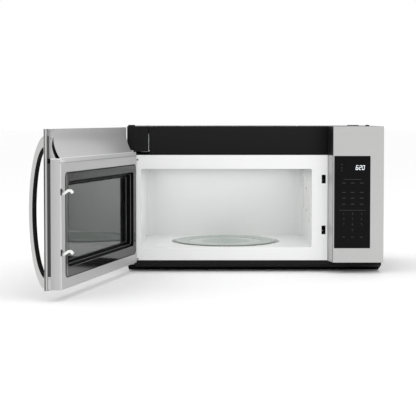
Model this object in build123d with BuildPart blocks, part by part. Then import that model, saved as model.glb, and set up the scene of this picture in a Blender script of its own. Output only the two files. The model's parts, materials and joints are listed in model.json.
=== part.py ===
import os
from math import cos, radians, sin, sqrt

from build123d import *

os.makedirs("parts", exist_ok=True)

# Over-the-range microwave oven, standing on its underside with the door swung open.
# +X runs to the right seen from the front, +Y to the wall, +Z up.
# The origin is the centre of the underside.

# ---------------------------------------------------------------- driving dimensions

case_width = 759.0
case_height = 435.0
case_depth = 374.0
case_sheet = 0.9
case_bend_radius = 3.0
bead_inset = 76.0  # case's sides to the back plate's bead
bead_width = 14.0
bead_depth = 3.0
seat_gap = 0.3  # between pieces that lie beside each other
running_gap = 0.05  # radial, between a pin and its bore
door_open = 105.0  # degrees that the door stands open

base_height = 34.7  # underside to the white front
base_lip = 14.7  # upright front strip of the base trim
base_setback = 59.0  # front plane to where the underside starts
base_sheet = 1.2
base_tray_height = 31.0
trim_wall = 2.5
trim_end_inset = 23.5  # left end of the base trim, clear of the lower hinge
trim_corner = 12.0

band_height = 85.7  # black vent band above the white front
band_wall = 2.5
band_hollow = 3.5  # how far the band curves in at its middle
band_ledge = 27.0  # depth of the louvred ledge on top of the band
louvre_length = 22.0
louvre_width = 3.6
louvre_bar = 4.4
louvre_rows = 2

frame_sheet = 1.0
opening_corner = 5.0
frame_return = 10.0

panel_width = 149.7
panel_depth = 45.0
panel_slant_width = 9.4  # the panel's side leans towards the oven by this much
panel_reveal = 1.8  # from the fascia's edge to the panel's side
fascia_sheet = 1.0
fascia_lip = 4.0
fascia_corner = 8.0
fascia_bottom = 33.0
housing_wall = 2.5

keypad_width = 106.8
keypad_height = 272.8
keypad_edge = 3.2  # fascia left of the keypad glass
keypad_bottom = 75.2
keypad_glass_thickness = 2.6
display_width = 40.0
display_height = 24.0
display_depth = 8.0
display_inset = 15.0  # display to the right edge of the keypad glass
display_drop = 23.0  # top of the keypad glass to the top of the display
board_thickness = 1.6
board_standoff = 4.0
board_edge = 6.0  # housing wall to the board
relay_size = 18.0
relay_height = 14.0

cavity_margin = 41.0  # case's left side to the oven cavity
cavity_post = 47.4  # oven cavity to the control panel's side
cavity_sill = 38.8  # white rail below the oven cavity
cavity_head = 41.4  # white rail above the oven cavity
cavity_back_gap = 11.0  # oven cavity to the wall
cavity_sheet = 0.8
cavity_corner = 20.0
well_diameter = 340.0
well_depth = 18.5

tray_diameter = 315.0
tray_thickness = 4.4
tray_rim_rise = 2.2
tray_rim_width = 5.0
tray_offset = 8.5  # cavity's middle to the tray's centre, towards the wall
tray_step_diameter = 235.0
tray_step_height = 1.0
lug_circle_diameter = 44.0
lug_diameter = 6.0
lug_height = 5.0
coupler_arm_length = 29.0
coupler_arm_width = 9.0
coupler_hub_diameter = 18.0
coupler_height = 8.0
spindle_diameter = 6.0
spindle_length = 14.0
motor_diameter = 49.0
motor_height = 15.0
motor_ear_width = 10.0
ring_outer_diameter = 180.0
ring_inner_diameter = 168.0
ring_height = 4.0
wheel_diameter = 14.0
wheel_width = 9.0
wheel_bore_diameter = 4.4
wheel_circle_diameter = 208.0
wheel_count = 3

cover_length = 185.0  # waveguide cover, along the cavity
cover_height = 138.0
cover_thickness = 0.8
cover_lift = 12.3  # cavity's middle to the cover's middle
cover_setback = 87.0  # front plane to the cover's front edge
port_length = 99.0
port_height = 50.0
duct_width = 38.0
duct_length = 165.0
duct_height = 84.0
duct_sheet = 1.0

hinge_inset = 12.0  # case's left side to the hinge axis
hinge_depth = 27.0  # door's outer face to the hinge axis
pin_diameter = 8.0
pin_length = 14.0
hinge_plate = 3.0
hinge_arm_width = 20.0
hinge_rise = 52.0  # upright plate of a hinge bracket
bushing_wall = 2.4
bushing_length = 20.0
bushing_flange = 1.5
boss_wall = 2.0
hinge_cover_width = 63.5
hinge_cover_stand = 4.0
hinge_cover_height = 75.0
hinge_slot = 4.0  # between the hinge cover and the vent band
wide_clip_length = 20.0
narrow_clip_length = 10.0
clip_width = 12.0
clip_height = 4.0
clip_inset = 48.0  # case's right side to the narrow clip

door_gap = 2.0
door_thickness = 43.0
door_edge = 11.0  # hinge axis to the door's hinge side
door_side_gap = 2.3
door_slant_width = 12.0  # the free end leans in by this much
door_top_gap = 3.0
door_bottom = 28.0
skin_sheet = 1.0
skin_bend_radius = 2.0
skin_return_depth = 9.0
skin_return_slant_width = 2.5
cap_depth = 21.8

window_left = 12.0  # hinge axis to the outer glass
window_right = 55.0  # outer glass to the free edge
window_sill = 32.0  # core's lower edge to the outer glass
window_head = 8.0  # outer glass to the core's upper edge
outer_glass_thickness = 3.2
glass_recess = 0.2  # outer glass below the skin's face
core_depth = 17.0  # outer face to the back of the door's black core
core_web_thickness = 3.0
core_inset = 2.0  # door's lower edge to the core
core_rise = 0.7  # core above the flat inner face
core_ledge_width = 12.0  # glass bears on this width
core_post_width = 40.0
screw_diameter = 5.0
screw_head = 9.0

cover_wall = 2.5
inner_drop = 4.0  # white front's upper edge to the top of the door's flat inner face
lip_height = 13.2
lip_slope_depth = 3.0
hinge_round_radius = 8.0  # lets the hinge side turn past the front plane
free_round_radius = 2.5
groove_left = 2.0  # hinge axis to the groove round the window trim
groove_right = 43.0  # groove to the free edge
groove_sill = 27.6  # core's lower edge to the groove
groove_head = 24.3  # groove to the top of the flat inner face
groove_corner = 12.0
groove_width = 1.2
border_depth = 0.4
rebate_lip = 2.6
rebate_ledge = 4.0
border_thickness = 3.0
border_left = 17.0  # glossy border, from the groove to the recess
border_right = 19.0
border_sill = 24.4
border_head = 21.0
recess_corner = 8.0
recess_step_width = 7.0  # each of the two ledges
first_ledge_depth = 8.0
ledge_thickness = 2.0
ledge_chamfer_width = 0.8
trim_block_wall = 2.5
inner_glass_thickness = 3.2
glass_overlap = 6.0
screen_sheet = 0.8
choke_depth = 18.0
choke_margin = 9.0

scoop_sheet = 1.5
scoop_notch = 24.6  # hinge axis to the scoop plate, clear of the hinge cover
scoop_straight = 20.0
scoop_radius = 88.0
cap_inset = 5.0
cap_screw_depth = 14.0
cap_screw_drop = 24.0
cap_screw_diameter = 3.4
cap_gap = 7.0  # free-end gusset to the scoop plate, at the lip

handle_inset = 40.0  # handle's hinge side to the free edge
handle_width = 26.0
handle_bottom_gap = 1.6  # door's lower edge to the handle
handle_top_gap = 16.4  # handle to the door's upper edge
handle_foot_length = 27.0
handle_projection = 46.0
handle_strap_thickness = 9.5
handle_chamfer_width = 1.5
liner_thickness = 1.6
liner_inset = 2.0  # handle's side to the liner
screw_engagement = 2.0  # the handle's screws reach into its feet

latch_inset = 21.0  # hooks to the free edge
latch_width = 6.0
latch_lift = 6.35  # door's middle to the middle between the hooks
latch_spacing = 152.0
latch_travel = 6.0
latch_bar_inner = 37.0
latch_bar_depth = 14.0
hook_rise_height = 12.0
hook_thickness = 6.0
hook_length = 30.0
hook_slot_gap = 3.0  # hook to the slot's end, towards the free edge
slot_width = 12.0
slot_height = 26.0
slot_drop = 5.5  # hook's foot to the slot's lower end
keeper_setback = 13.5  # front plane to the latch board's sills
keeper_engage_height = 2.0  # hook's tip below the sill's edge
keeper_thickness = 3.0
switch_length = 28.0
switch_width = 10.0
switch_height = 16.0
plunger_reach_length = 6.0
plunger_travel = 1.5
plunger_diameter = 3.0

filter_length = 194.0
filter_width = 127.0
filter_thickness = 5.0
filter_border = 9.0
pad_inset = 11.0
pad_gap = 1.0  # mesh pad below the filter's faces
filter_spacing = 470.0
filter_setback = 235.0  # front plane to the filters' centre
lens_length = 96.0
lens_width = 62.0
lens_thickness = 3.0
lens_border = 5.0
lens_setback = 110.0
lamp_diameter = 26.0
lamp_length = 52.0
lamp_base_diameter = 18.0

mount_hole_spacing = 610.0
mount_hole_setback = 84.0
mount_hole_diameter = 11.0
wall_slot_spacing = 460.0
wall_slot_rise = 62.0
wall_slot_length = 30.0
wall_slot_width = 8.0
exhaust_length = 254.0
exhaust_width = 83.0
exhaust_inset = 14.0  # wall to the exhaust outlet
collar_sheet = 1.0
collar_depth = 9.0
flap_thickness = 1.2
flap_gap = 1.0
flap_pin = 3.0
flap_tube_diameter = 4.8
cord_hole_diameter = 25.0
cord_hole_inset = 46.0
cord_hole_back = 44.0
gland_wall = 3.0
gland_flange = 2.0
gland_length = 14.0

shelf_sheet = 1.2
transformer_length = 92.0
transformer_width = 72.0
transformer_height = 76.0
yoke_height = 16.0
coil_window_width = 18.4
coil_window_spacing = 46.0
winding_bulge_width = 12.0
capacitor_length = 52.0
capacitor_width = 34.0
capacitor_height = 96.0
magnetron_depth = 56.0
magnetron_length = 92.0
magnetron_height = 78.0
fin_count = 5
fin_gap = 5.0
filter_box_width = 24.0
antenna_diameter = 16.0
antenna_length = 24.0
antenna_gap = 4.0
fan_size = 124.0
fan_depth = 34.0
fan_bore_diameter = 112.0
fan_tip_gap = 2.0
fan_hub_diameter = 38.0
fan_blades = 5
fan_blade_depth = 16.0
fan_blade_thickness = 2.0
fan_root_pitch = 32.0
fan_tip_pitch = 50.0
fan_slot_length = 78.0
fan_slot_count = 9
fan_height = 205.0
blower_radius = 50.0
blower_length = 72.0
blower_motor_length = 78.0
blower_motor_diameter = 84.0
blower_blades = 14
blower_blade_angle = 30.0
blower_blade_depth = 9.0
blower_blade_thickness = 1.4
blower_tip_gap = 3.0
blower_sheet = 1.0
scroll_lift = 1.0  # oven's roof to the scrolls
blower_inlet_diameter = 78.0
scroll_growth_width = 6.0
shaft_diameter = 8.0
blower_shaft_bore = 8.1
charcoal_length = 330.0
charcoal_height = 92.0
charcoal_thickness = 18.0

# ---------------------------------------------------------------- shared places

left_x = -case_width / 2
right_x = case_width / 2
front_y = -case_depth / 2
wall_y = case_depth / 2
case_front = front_y + frame_sheet
case_back = wall_y - case_sheet
case_top = case_height - case_sheet
toe_y = front_y + base_setback
frame_top = case_height - band_height
ledge_y = front_y + band_ledge
exhaust_y = wall_y - exhaust_inset - exhaust_width / 2
collar_bottom = case_top - collar_depth
pivot_y = exhaust_y + exhaust_width / 2 - collar_sheet - flap_pin
pivot_z = case_top - collar_depth / 2

panel_left = right_x - panel_width
panel_side = panel_left - panel_reveal
panel_foot = panel_side - panel_slant_width
fascia_y = front_y - panel_depth
housing_y = fascia_y + fascia_lip

cavity_left = left_x + cavity_margin
cavity_right = panel_foot - cavity_post
cavity_width = cavity_right - cavity_left
cavity_floor = base_height + cavity_sill
cavity_top = frame_top - cavity_head
cavity_height = cavity_top - cavity_floor
cavity_back = wall_y - cavity_back_gap
bay_left = cavity_right + cavity_sheet
roof_z = cavity_top + cavity_sheet
tray_x = (cavity_left + cavity_right) / 2
tray_y = (front_y + cavity_back) / 2 + tray_offset
well_floor = cavity_floor - well_depth

hinge_x = left_x + hinge_inset
hinge_y = front_y - door_gap - door_thickness + hinge_depth
door_top = case_height - door_top_gap
free_edge = panel_left - door_side_gap - hinge_x
inner_top = frame_top - inner_drop
core_top = inner_top + core_rise
core_bottom = door_bottom + core_inset
lip_top = inner_top + lip_height
upper_arm_z = lip_top + bushing_flange + seat_gap
lower_arm_z = core_bottom - bushing_flange - seat_gap
band_left = left_x + hinge_cover_width + hinge_slot
latch_line = free_edge - latch_inset
latch_x = hinge_x + latch_line
latch_base = (core_bottom + inner_top) / 2 + latch_lift - latch_spacing / 2
hook_feet = [latch_base, latch_base + latch_spacing]

window_length = free_edge - window_left - window_right
window_bottom = core_bottom + window_sill
window_height = core_top - window_head - window_bottom
groove_length = free_edge - groove_left - groove_right
groove_bottom = core_bottom + groove_sill
groove_height = inner_top - groove_head - groove_bottom
recess_left = groove_left + border_left
recess_length = groove_length - border_left - border_right
recess_bottom = groove_bottom + border_sill
recess_height = groove_height - border_sill - border_head

handle_left = free_edge - handle_inset
handle_foot = door_bottom + handle_bottom_gap
handle_half_length = (door_top - handle_top_gap - handle_foot) / 2
handle_centre = handle_foot + handle_half_length
grip_half_length = handle_half_length - handle_foot_length
grip_projection = handle_projection - handle_strap_thickness

# The door's own frame: x from the hinge axis along the door, y from the outer face
# inwards, z up. Its pieces are drawn there, so that they all turn with door_open.
door_x_dir = Vector(1, 0, 0).rotate(Axis.Z, -door_open)
door_y_dir = Vector(0, 1, 0).rotate(Axis.Z, -door_open)
hinge_point = Vector(hinge_x, hinge_y, 0)
door_plane = Plane(
    origin=hinge_point - door_y_dir * hinge_depth,
    x_dir=door_x_dir,
    z_dir=(0, 0, 1),
)


def door_face(depth):
    # a plane parallel to the door's faces, looking outwards
    origin = door_plane.from_local_coords(Vector(0, depth, 0))
    return Plane(origin=origin, x_dir=door_x_dir, z_dir=-door_y_dir)


def door_section(along):
    # a plane across the door, x inwards and y up, looking to the free end
    origin = door_plane.from_local_coords(Vector(along, 0, 0))
    return Plane(origin=origin, x_dir=door_y_dir, z_dir=door_x_dir)


def slab(xs, ys, zs, base=Plane.XY, mode=Mode.ADD):
    # a block between two places on each axis of the base plane
    with BuildSketch(base.offset(zs[0])) as outline:
        with Locations(((xs[0] + xs[1]) / 2, (ys[0] + ys[1]) / 2)):
            Rectangle(xs[1] - xs[0], ys[1] - ys[0])
    extrude(outline.sketch, amount=zs[1] - zs[0], mode=mode)


def round_bar(plane, centre, diameter, length, mode=Mode.ADD):
    # a cylinder that starts on the plane and runs along its normal
    with BuildSketch(plane) as outline:
        with Locations(centre):
            Circle(diameter / 2)
    extrude(outline.sketch, amount=length, mode=mode)


def window(plane, left, bottom, length, height, corner, depth, mode=Mode.ADD):
    # a block with rounded corners, placed by its lower left corner
    with BuildSketch(plane) as outline:
        with Locations((left + length / 2, bottom + height / 2)):
            RectangleRounded(length, height, corner)
    extrude(outline.sketch, amount=depth, mode=mode)


# ================================================================ case

with BuildPart() as outer_case:
    # wrapper folded from one sheet: left side, top and right side
    with BuildSketch(Plane.XZ.offset(-case_back)):
        with BuildLine():
            FilletPolyline(
                (left_x, 0), (left_x, case_height), (right_x, case_height), (right_x, 0),
                radius=case_bend_radius,
            )
            offset(amount=case_sheet, side=Side.RIGHT)
        make_face()
    extrude(amount=case_back - case_front)
    # the lower front corners follow the sloping base
    with BuildSketch(Plane.YZ.offset(left_x)):
        with BuildLine():
            Polyline(
                (case_front, 0), (toe_y, 0), (case_front, base_height - base_lip), close=True
            )
        make_face()
    extrude(amount=case_width, mode=Mode.SUBTRACT)
    # room for the vent band's ledge
    slab((band_left, panel_foot), (case_front, ledge_y), (frame_top, case_height), mode=Mode.SUBTRACT)
    # exhaust outlet, cord hole and the two bolt holes for the cabinet above
    with BuildSketch(Plane.XY.offset(case_top)):
        with Locations((0, exhaust_y)):
            Rectangle(exhaust_length, exhaust_width)
        with Locations((right_x - cord_hole_inset, wall_y - cord_hole_back)):
            Circle(cord_hole_diameter / 2 + gland_wall + running_gap)
        with Locations((0, front_y + mount_hole_setback)):
            with GridLocations(mount_hole_spacing, 0, 2, 1):
                Circle(mount_hole_diameter / 2)
    extrude(amount=case_sheet, mode=Mode.SUBTRACT)
    # the outlet's edge is folded down, and its short sides carry the damper's pins
    slab((-exhaust_length / 2 - collar_sheet, exhaust_length / 2 + collar_sheet),
         (exhaust_y - exhaust_width / 2 - collar_sheet, exhaust_y + exhaust_width / 2 + collar_sheet),
         (collar_bottom, case_height))
    slab((-exhaust_length / 2, exhaust_length / 2),
         (exhaust_y - exhaust_width / 2, exhaust_y + exhaust_width / 2),
         (collar_bottom, case_height), mode=Mode.SUBTRACT)
    round_bar(Plane.YZ.offset(-exhaust_length / 2 - collar_sheet), (pivot_y, pivot_z),
              flap_pin + 2 * running_gap, exhaust_length + 2 * collar_sheet, mode=Mode.SUBTRACT)
outer_case.part.label = "outer_case"
export_step(outer_case.part, "parts/outer_case.step")

with BuildPart() as back_plate:
    half_back = case_width / 2 - case_sheet
    slab((-half_back, half_back), (case_back, wall_y), (0, case_top))
    # pressed stiffening beads stand inwards
    with BuildSketch(Plane.XZ.offset(-case_back)):
        with Locations((0, roof_z)):
            SlotOverall(case_width - 2 * bead_inset, bead_width)
    extrude(amount=bead_depth, taper=30)
    # keyed slots that hang the oven on its wall plate
    with BuildSketch(Plane.XZ.offset(-wall_y)):
        with Locations((0, wall_slot_rise)):
            with GridLocations(wall_slot_spacing, 0, 2, 1):
                SlotOverall(wall_slot_length, wall_slot_width)
        # air inlet of the cooling fan
        with Locations(((bay_left + right_x) / 2, fan_height)):
            with GridLocations(0, 2 * louvre_bar, 1, fan_slot_count):
                Rectangle(fan_slot_length, louvre_width)
    extrude(amount=case_sheet, mode=Mode.SUBTRACT)
back_plate.part.label = "back_plate"
export_step(back_plate.part, "parts/back_plate.step")

filter_y = front_y + filter_setback
lens_y = front_y + lens_setback
pan_front = toe_y + trim_wall
pan_half = case_width / 2 - case_sheet

with BuildPart() as base_plate:
    slab((-pan_half, pan_half), (pan_front, case_back), (0, base_tray_height))
    slab(
        (-pan_half + base_sheet, pan_half - base_sheet),
        (pan_front + base_sheet, case_back - base_sheet),
        (base_sheet, base_tray_height),
        mode=Mode.SUBTRACT,
    )
    # the air enters through both filters, and the lamp shines through the lens
    with BuildSketch(Plane.XY):
        with Locations((0, filter_y)):
            with GridLocations(filter_spacing, 0, 2, 1):
                Rectangle(filter_length - 2 * filter_border, filter_width - 2 * filter_border)
        with Locations((0, lens_y)):
            Rectangle(lens_length - 2 * lens_border, lens_width - 2 * lens_border)
    extrude(amount=base_sheet, mode=Mode.SUBTRACT)
base_plate.part.label = "base_plate"
export_step(base_plate.part, "parts/base_plate.step")

with BuildPart() as base_trim:
    # upright lip and sloping apron in one section
    with BuildSketch(Plane.YZ.offset(left_x + trim_end_inset)):
        with BuildLine():
            FilletPolyline(
                (front_y, base_height - seat_gap),
                (front_y, base_height - base_lip),
                (toe_y, 0),
                radius=case_bend_radius,
            )
            offset(amount=trim_wall, side=Side.LEFT)
        make_face()
    extrude(amount=case_width - trim_end_inset - case_sheet)
    # both lower corners are rounded off
    with BuildSketch(Plane.XZ.offset(-toe_y - trim_wall)):
        with Locations(((left_x + trim_end_inset + right_x - case_sheet) / 2, base_height / 2)):
            Rectangle(case_width - trim_end_inset - case_sheet, base_height)
        fillet(vertices().sort_by(Axis.Y)[:2], radius=trim_corner)
    extrude(amount=base_setback + 2 * trim_wall, mode=Mode.INTERSECT)
    # the lip is lower under the control panel
    slab((panel_foot - seat_gap, right_x), (front_y, toe_y), (fascia_bottom, base_height),
         mode=Mode.SUBTRACT)
base_trim.part.label = "base_trim"
export_step(base_trim.part, "parts/base_trim.step")

with BuildPart() as front_frame:
    slab((left_x, panel_foot - seat_gap), (front_y, case_front), (base_height, frame_top))
    # folded edge that carries the vent band
    slab((band_left, panel_foot - seat_gap), (case_front, front_y + frame_return),
         (frame_top - frame_sheet, frame_top))
    window(Plane.XZ.offset(-case_front), cavity_left, cavity_floor, cavity_width, cavity_height,
           opening_corner, frame_sheet, mode=Mode.SUBTRACT)
    for foot in hook_feet:
        window(Plane.XZ.offset(-case_front), latch_x - slot_width / 2, foot - slot_drop,
               slot_width, slot_height, frame_sheet, frame_sheet, mode=Mode.SUBTRACT)
front_frame.part.label = "front_frame"
export_step(front_frame.part, "parts/front_frame.step")

with BuildPart() as vent_grille:
    # hollow-curved face and level ledge in one section
    band_bottom = frame_top + seat_gap
    with BuildSketch(Plane.YZ.offset(band_left)):
        with BuildLine():
            band_face = ThreePointArc(
                (front_y, band_bottom),
                (front_y + band_hollow, (band_bottom + case_height) / 2),
                (front_y, case_height),
            )
            Line(band_face @ 1, (ledge_y, case_height))
            offset(amount=band_wall, side=Side.RIGHT)
        make_face()
    extrude(amount=panel_foot - seat_gap - band_left)
    # the lower edge lies level on the white front's folded edge
    slab((band_left, panel_foot), (front_y, ledge_y), (frame_top - band_wall, band_bottom),
         mode=Mode.SUBTRACT)
    # louvres in the ledge let the air out upwards
    louvre_pitch = louvre_length + louvre_bar
    louvre_count = int((panel_foot - band_left - 2 * louvre_bar) / louvre_pitch)
    with BuildSketch(Plane.XY.offset(case_height)):
        with Locations(((band_left + panel_foot) / 2, (front_y + ledge_y) / 2 + band_wall)):
            with GridLocations(louvre_pitch, louvre_width + louvre_bar, louvre_count, louvre_rows):
                Rectangle(louvre_length, louvre_width)
    extrude(amount=-band_wall, mode=Mode.SUBTRACT)
vent_grille.part.label = "vent_grille"
export_step(vent_grille.part, "parts/vent_grille.step")

# ================================================================ hinges and their cover

with BuildPart() as upper_hinge_bracket:
    hinge_back = case_front + hinge_plate
    bracket_left = left_x + case_sheet + seat_gap
    slab((bracket_left, band_left - seat_gap), (case_front, hinge_back),
         (upper_arm_z, upper_arm_z + hinge_rise))
    slab((hinge_x - hinge_arm_width / 2, hinge_x + hinge_arm_width / 2), (hinge_y, hinge_back),
         (upper_arm_z, upper_arm_z + hinge_plate))
    round_bar(Plane.XY.offset(upper_arm_z), (hinge_x, hinge_y), hinge_arm_width, hinge_plate)
    round_bar(Plane.XY.offset(upper_arm_z - pin_length), (hinge_x, hinge_y), pin_diameter, pin_length)
upper_hinge_bracket.part.label = "upper_hinge_bracket"
export_step(upper_hinge_bracket.part, "parts/upper_hinge_bracket.step")

with BuildPart() as lower_hinge_bracket:
    lower_arm_bottom = lower_arm_z - hinge_plate
    slab((bracket_left, left_x + trim_end_inset - seat_gap), (case_front, hinge_back),
         (lower_arm_bottom, lower_arm_bottom + hinge_rise))
    slab((hinge_x - hinge_arm_width / 2, hinge_x + hinge_arm_width / 2), (hinge_y, hinge_back),
         (lower_arm_bottom, lower_arm_bottom + hinge_plate))
    round_bar(Plane.XY.offset(lower_arm_bottom), (hinge_x, hinge_y), hinge_arm_width, hinge_plate)
    round_bar(Plane.XY.offset(lower_arm_bottom + hinge_plate), (hinge_x, hinge_y), pin_diameter,
              pin_length)
lower_hinge_bracket.part.label = "lower_hinge_bracket"
export_step(lower_hinge_bracket.part, "parts/lower_hinge_bracket.step")

with BuildPart() as hinge_cover:
    cover_right = left_x + hinge_cover_width
    cover_bottom = case_height - hinge_cover_height
    slab((left_x, cover_right), (front_y - hinge_cover_stand, front_y), (cover_bottom, case_height))
    front_rim = hinge_cover.edges().filter_by(Axis.Z).group_by(Axis.Y)[0]
    fillet(front_rim, radius=case_bend_radius)
    # notch for the upper hinge arm
    slab((hinge_x - hinge_arm_width / 2 - seat_gap, hinge_x + hinge_arm_width / 2 + seat_gap),
         (front_y - hinge_cover_stand, front_y),
         (cover_bottom, upper_arm_z + hinge_plate + seat_gap), mode=Mode.SUBTRACT)
    # spacers reach back to the bracket behind
    for height in (cover_bottom + hinge_cover_height / 3, case_height - hinge_cover_height / 3):
        round_bar(Plane.XZ.offset(-case_front), ((left_x + cover_right) / 2, height), screw_head,
                  frame_sheet)
hinge_cover.part.label = "hinge_cover"
export_step(hinge_cover.part, "parts/hinge_cover.step")

# ================================================================ oven cavity

with BuildPart() as cavity_liner:
    # one drawn tub, open to the front, with round upright corners at the back
    for inset, mode in ((-cavity_sheet, Mode.ADD), (0, Mode.SUBTRACT)):
        with BuildSketch(Plane.XY.offset(cavity_floor + inset)):
            with Locations((tray_x, (case_front + cavity_back - inset) / 2)):
                Rectangle(cavity_width - 2 * inset, cavity_back - inset - case_front)
            fillet(vertices().sort_by(Axis.Y)[-2:], radius=cavity_corner - inset)
        extrude(amount=cavity_height - 2 * inset, mode=mode)
    # sunken well for the turntable
    round_bar(Plane.XY.offset(well_floor - cavity_sheet), (tray_x, tray_y),
              well_diameter + 2 * cavity_sheet, well_depth + cavity_sheet)
    round_bar(Plane.XY.offset(well_floor), (tray_x, tray_y), well_diameter,
              well_depth + cavity_sheet, mode=Mode.SUBTRACT)
    round_bar(Plane.XY.offset(well_floor - cavity_sheet), (tray_x, tray_y),
              2 * spindle_diameter, cavity_sheet, mode=Mode.SUBTRACT)
    # port that the microwaves enter by, behind its cover
    port_y = front_y + cover_setback + cover_length / 2
    port_z = (cavity_floor + cavity_top) / 2 + cover_lift
    with BuildSketch(Plane.YZ.offset(cavity_right)):
        with Locations((port_y, port_z)):
            Rectangle(port_length, port_height)
    extrude(amount=cavity_sheet, mode=Mode.SUBTRACT)
cavity_liner.part.label = "cavity_liner"
export_step(cavity_liner.part, "parts/cavity_liner.step")

with BuildPart() as waveguide_cover:
    with BuildSketch(Plane.YZ.offset(cavity_right)):
        with Locations((port_y, port_z)):
            RectangleRounded(cover_length, cover_height, opening_corner)
    extrude(amount=-cover_thickness)
waveguide_cover.part.label = "waveguide_cover"
export_step(waveguide_cover.part, "parts/waveguide_cover.step")

with BuildPart() as waveguide:
    duct_y = (port_y - duct_length / 2, port_y + duct_length / 2)
    duct_z = (port_z - duct_height / 2, port_z + duct_height / 2)
    slab((bay_left, bay_left + duct_width), duct_y, duct_z)
    slab((bay_left, bay_left + duct_width - duct_sheet),
         (duct_y[0] + duct_sheet, duct_y[1] - duct_sheet),
         (duct_z[0] + duct_sheet, duct_z[1] - duct_sheet), mode=Mode.SUBTRACT)
    magnetron_y = duct_y[1] - magnetron_length / 2
    round_bar(Plane.YZ.offset(bay_left + duct_width - duct_sheet), (magnetron_y, port_z),
              antenna_diameter + 2 * antenna_gap, duct_sheet, mode=Mode.SUBTRACT)
waveguide.part.label = "waveguide"
export_step(waveguide.part, "parts/waveguide.step")

# ================================================================ turntable

wheel_z = well_floor + seat_gap + wheel_diameter / 2
tray_z = wheel_z + wheel_diameter / 2 + seat_gap

with BuildPart() as glass_tray:
    # dished plate turned about its centre: flat middle, step, raised rim
    with BuildSketch(Plane.XZ):
        with BuildLine():
            Polyline(
                (0, 0),
                (tray_diameter / 2 - tray_rim_width, 0),
                (tray_diameter / 2, tray_rim_rise),
                (tray_diameter / 2, tray_thickness + tray_rim_rise),
                (tray_diameter / 2 - tray_rim_width, tray_thickness + tray_rim_rise),
                (tray_diameter / 2 - 2 * tray_rim_width, tray_thickness),
                (tray_step_diameter / 2 + tray_step_height, tray_thickness),
                (tray_step_diameter / 2, tray_thickness - tray_step_height),
                (0, tray_thickness - tray_step_height),
                close=True,
            )
        make_face()
    revolve(axis=Axis.Z)
    # three lugs under the plate take the drive
    with BuildSketch(Plane.XY):
        with PolarLocations(lug_circle_diameter / 2, 3, start_angle=60):
            Circle(lug_diameter / 2)
    extrude(amount=-lug_height)
glass_tray.part.position = (tray_x, tray_y, tray_z)
glass_tray.part.label = "glass_tray"
export_step(glass_tray.part, "parts/glass_tray.step")

with BuildPart() as turntable_coupler:
    # three arms between the tray's lugs, and the spindle down into the motor
    coupler_top = tray_z - seat_gap
    with BuildSketch(Plane.XY.offset(coupler_top - coupler_height)):
        with Locations((tray_x, tray_y)):
            Circle(coupler_hub_diameter / 2)
            with PolarLocations(coupler_arm_length / 2, 3):
                SlotOverall(coupler_arm_length, coupler_arm_width)
    extrude(amount=coupler_height)
    round_bar(Plane.XY.offset(coupler_top - coupler_height), (tray_x, tray_y), spindle_diameter,
              -spindle_length)
turntable_coupler.part.label = "turntable_coupler"
export_step(turntable_coupler.part, "parts/turntable_coupler.step")

with BuildPart() as turntable_motor:
    motor_top = well_floor - cavity_sheet
    with BuildSketch(Plane.XY.offset(motor_top)):
        with Locations((tray_x, tray_y)):
            Circle(motor_diameter / 2)
            SlotOverall(motor_diameter + 2 * motor_ear_width, motor_ear_width)
    extrude(amount=-base_sheet)
    round_bar(Plane.XY.offset(motor_top), (tray_x, tray_y), motor_diameter, -motor_height)
    round_bar(Plane.XY.offset(motor_top), (tray_x, tray_y), spindle_diameter + 2 * running_gap,
              -spindle_length, mode=Mode.SUBTRACT)
turntable_motor.part.label = "turntable_motor"
export_step(turntable_motor.part, "parts/turntable_motor.step")

axle_diameter = wheel_bore_diameter - 2 * running_gap
axle_start = ring_outer_diameter / 2 - (ring_outer_diameter - ring_inner_diameter) / 4
axle_length = wheel_circle_diameter / 2 + wheel_width / 2 + wheel_width / 4 - axle_start
wheel_angles = [90 + 360 * number / wheel_count for number in range(wheel_count)]


def radial_plane(angle, radius):
    # a plane across a wheel's axle, looking outwards from the turntable's axis
    direction = Vector(1, 0, 0).rotate(Axis.Z, angle)
    origin = Vector(tray_x, tray_y, wheel_z) + direction * radius
    return Plane(origin=origin, x_dir=(0, 0, 1), z_dir=direction)


with BuildPart() as roller_ring:
    with BuildSketch(Plane.XY.offset(wheel_z - ring_height / 2)):
        with Locations((tray_x, tray_y)):
            Circle(ring_outer_diameter / 2)
            Circle(ring_inner_diameter / 2, mode=Mode.SUBTRACT)
    extrude(amount=ring_height)
    for angle in wheel_angles:
        round_bar(radial_plane(angle, axle_start), (0, 0), axle_diameter, axle_length)
roller_ring.part.label = "roller_ring"
export_step(roller_ring.part, "parts/roller_ring.step")

for number, angle in enumerate(wheel_angles, start=1):
    with BuildPart() as roller_wheel:
        with BuildSketch(radial_plane(angle, (wheel_circle_diameter - wheel_width) / 2)):
            Circle(wheel_diameter / 2)
            Circle(wheel_bore_diameter / 2, mode=Mode.SUBTRACT)
        extrude(amount=wheel_width)
    roller_wheel.part.label = f"roller_wheel_{number}"
    export_step(roller_wheel.part, f"parts/roller_wheel_{number}.step")

# ================================================================ control panel

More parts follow.
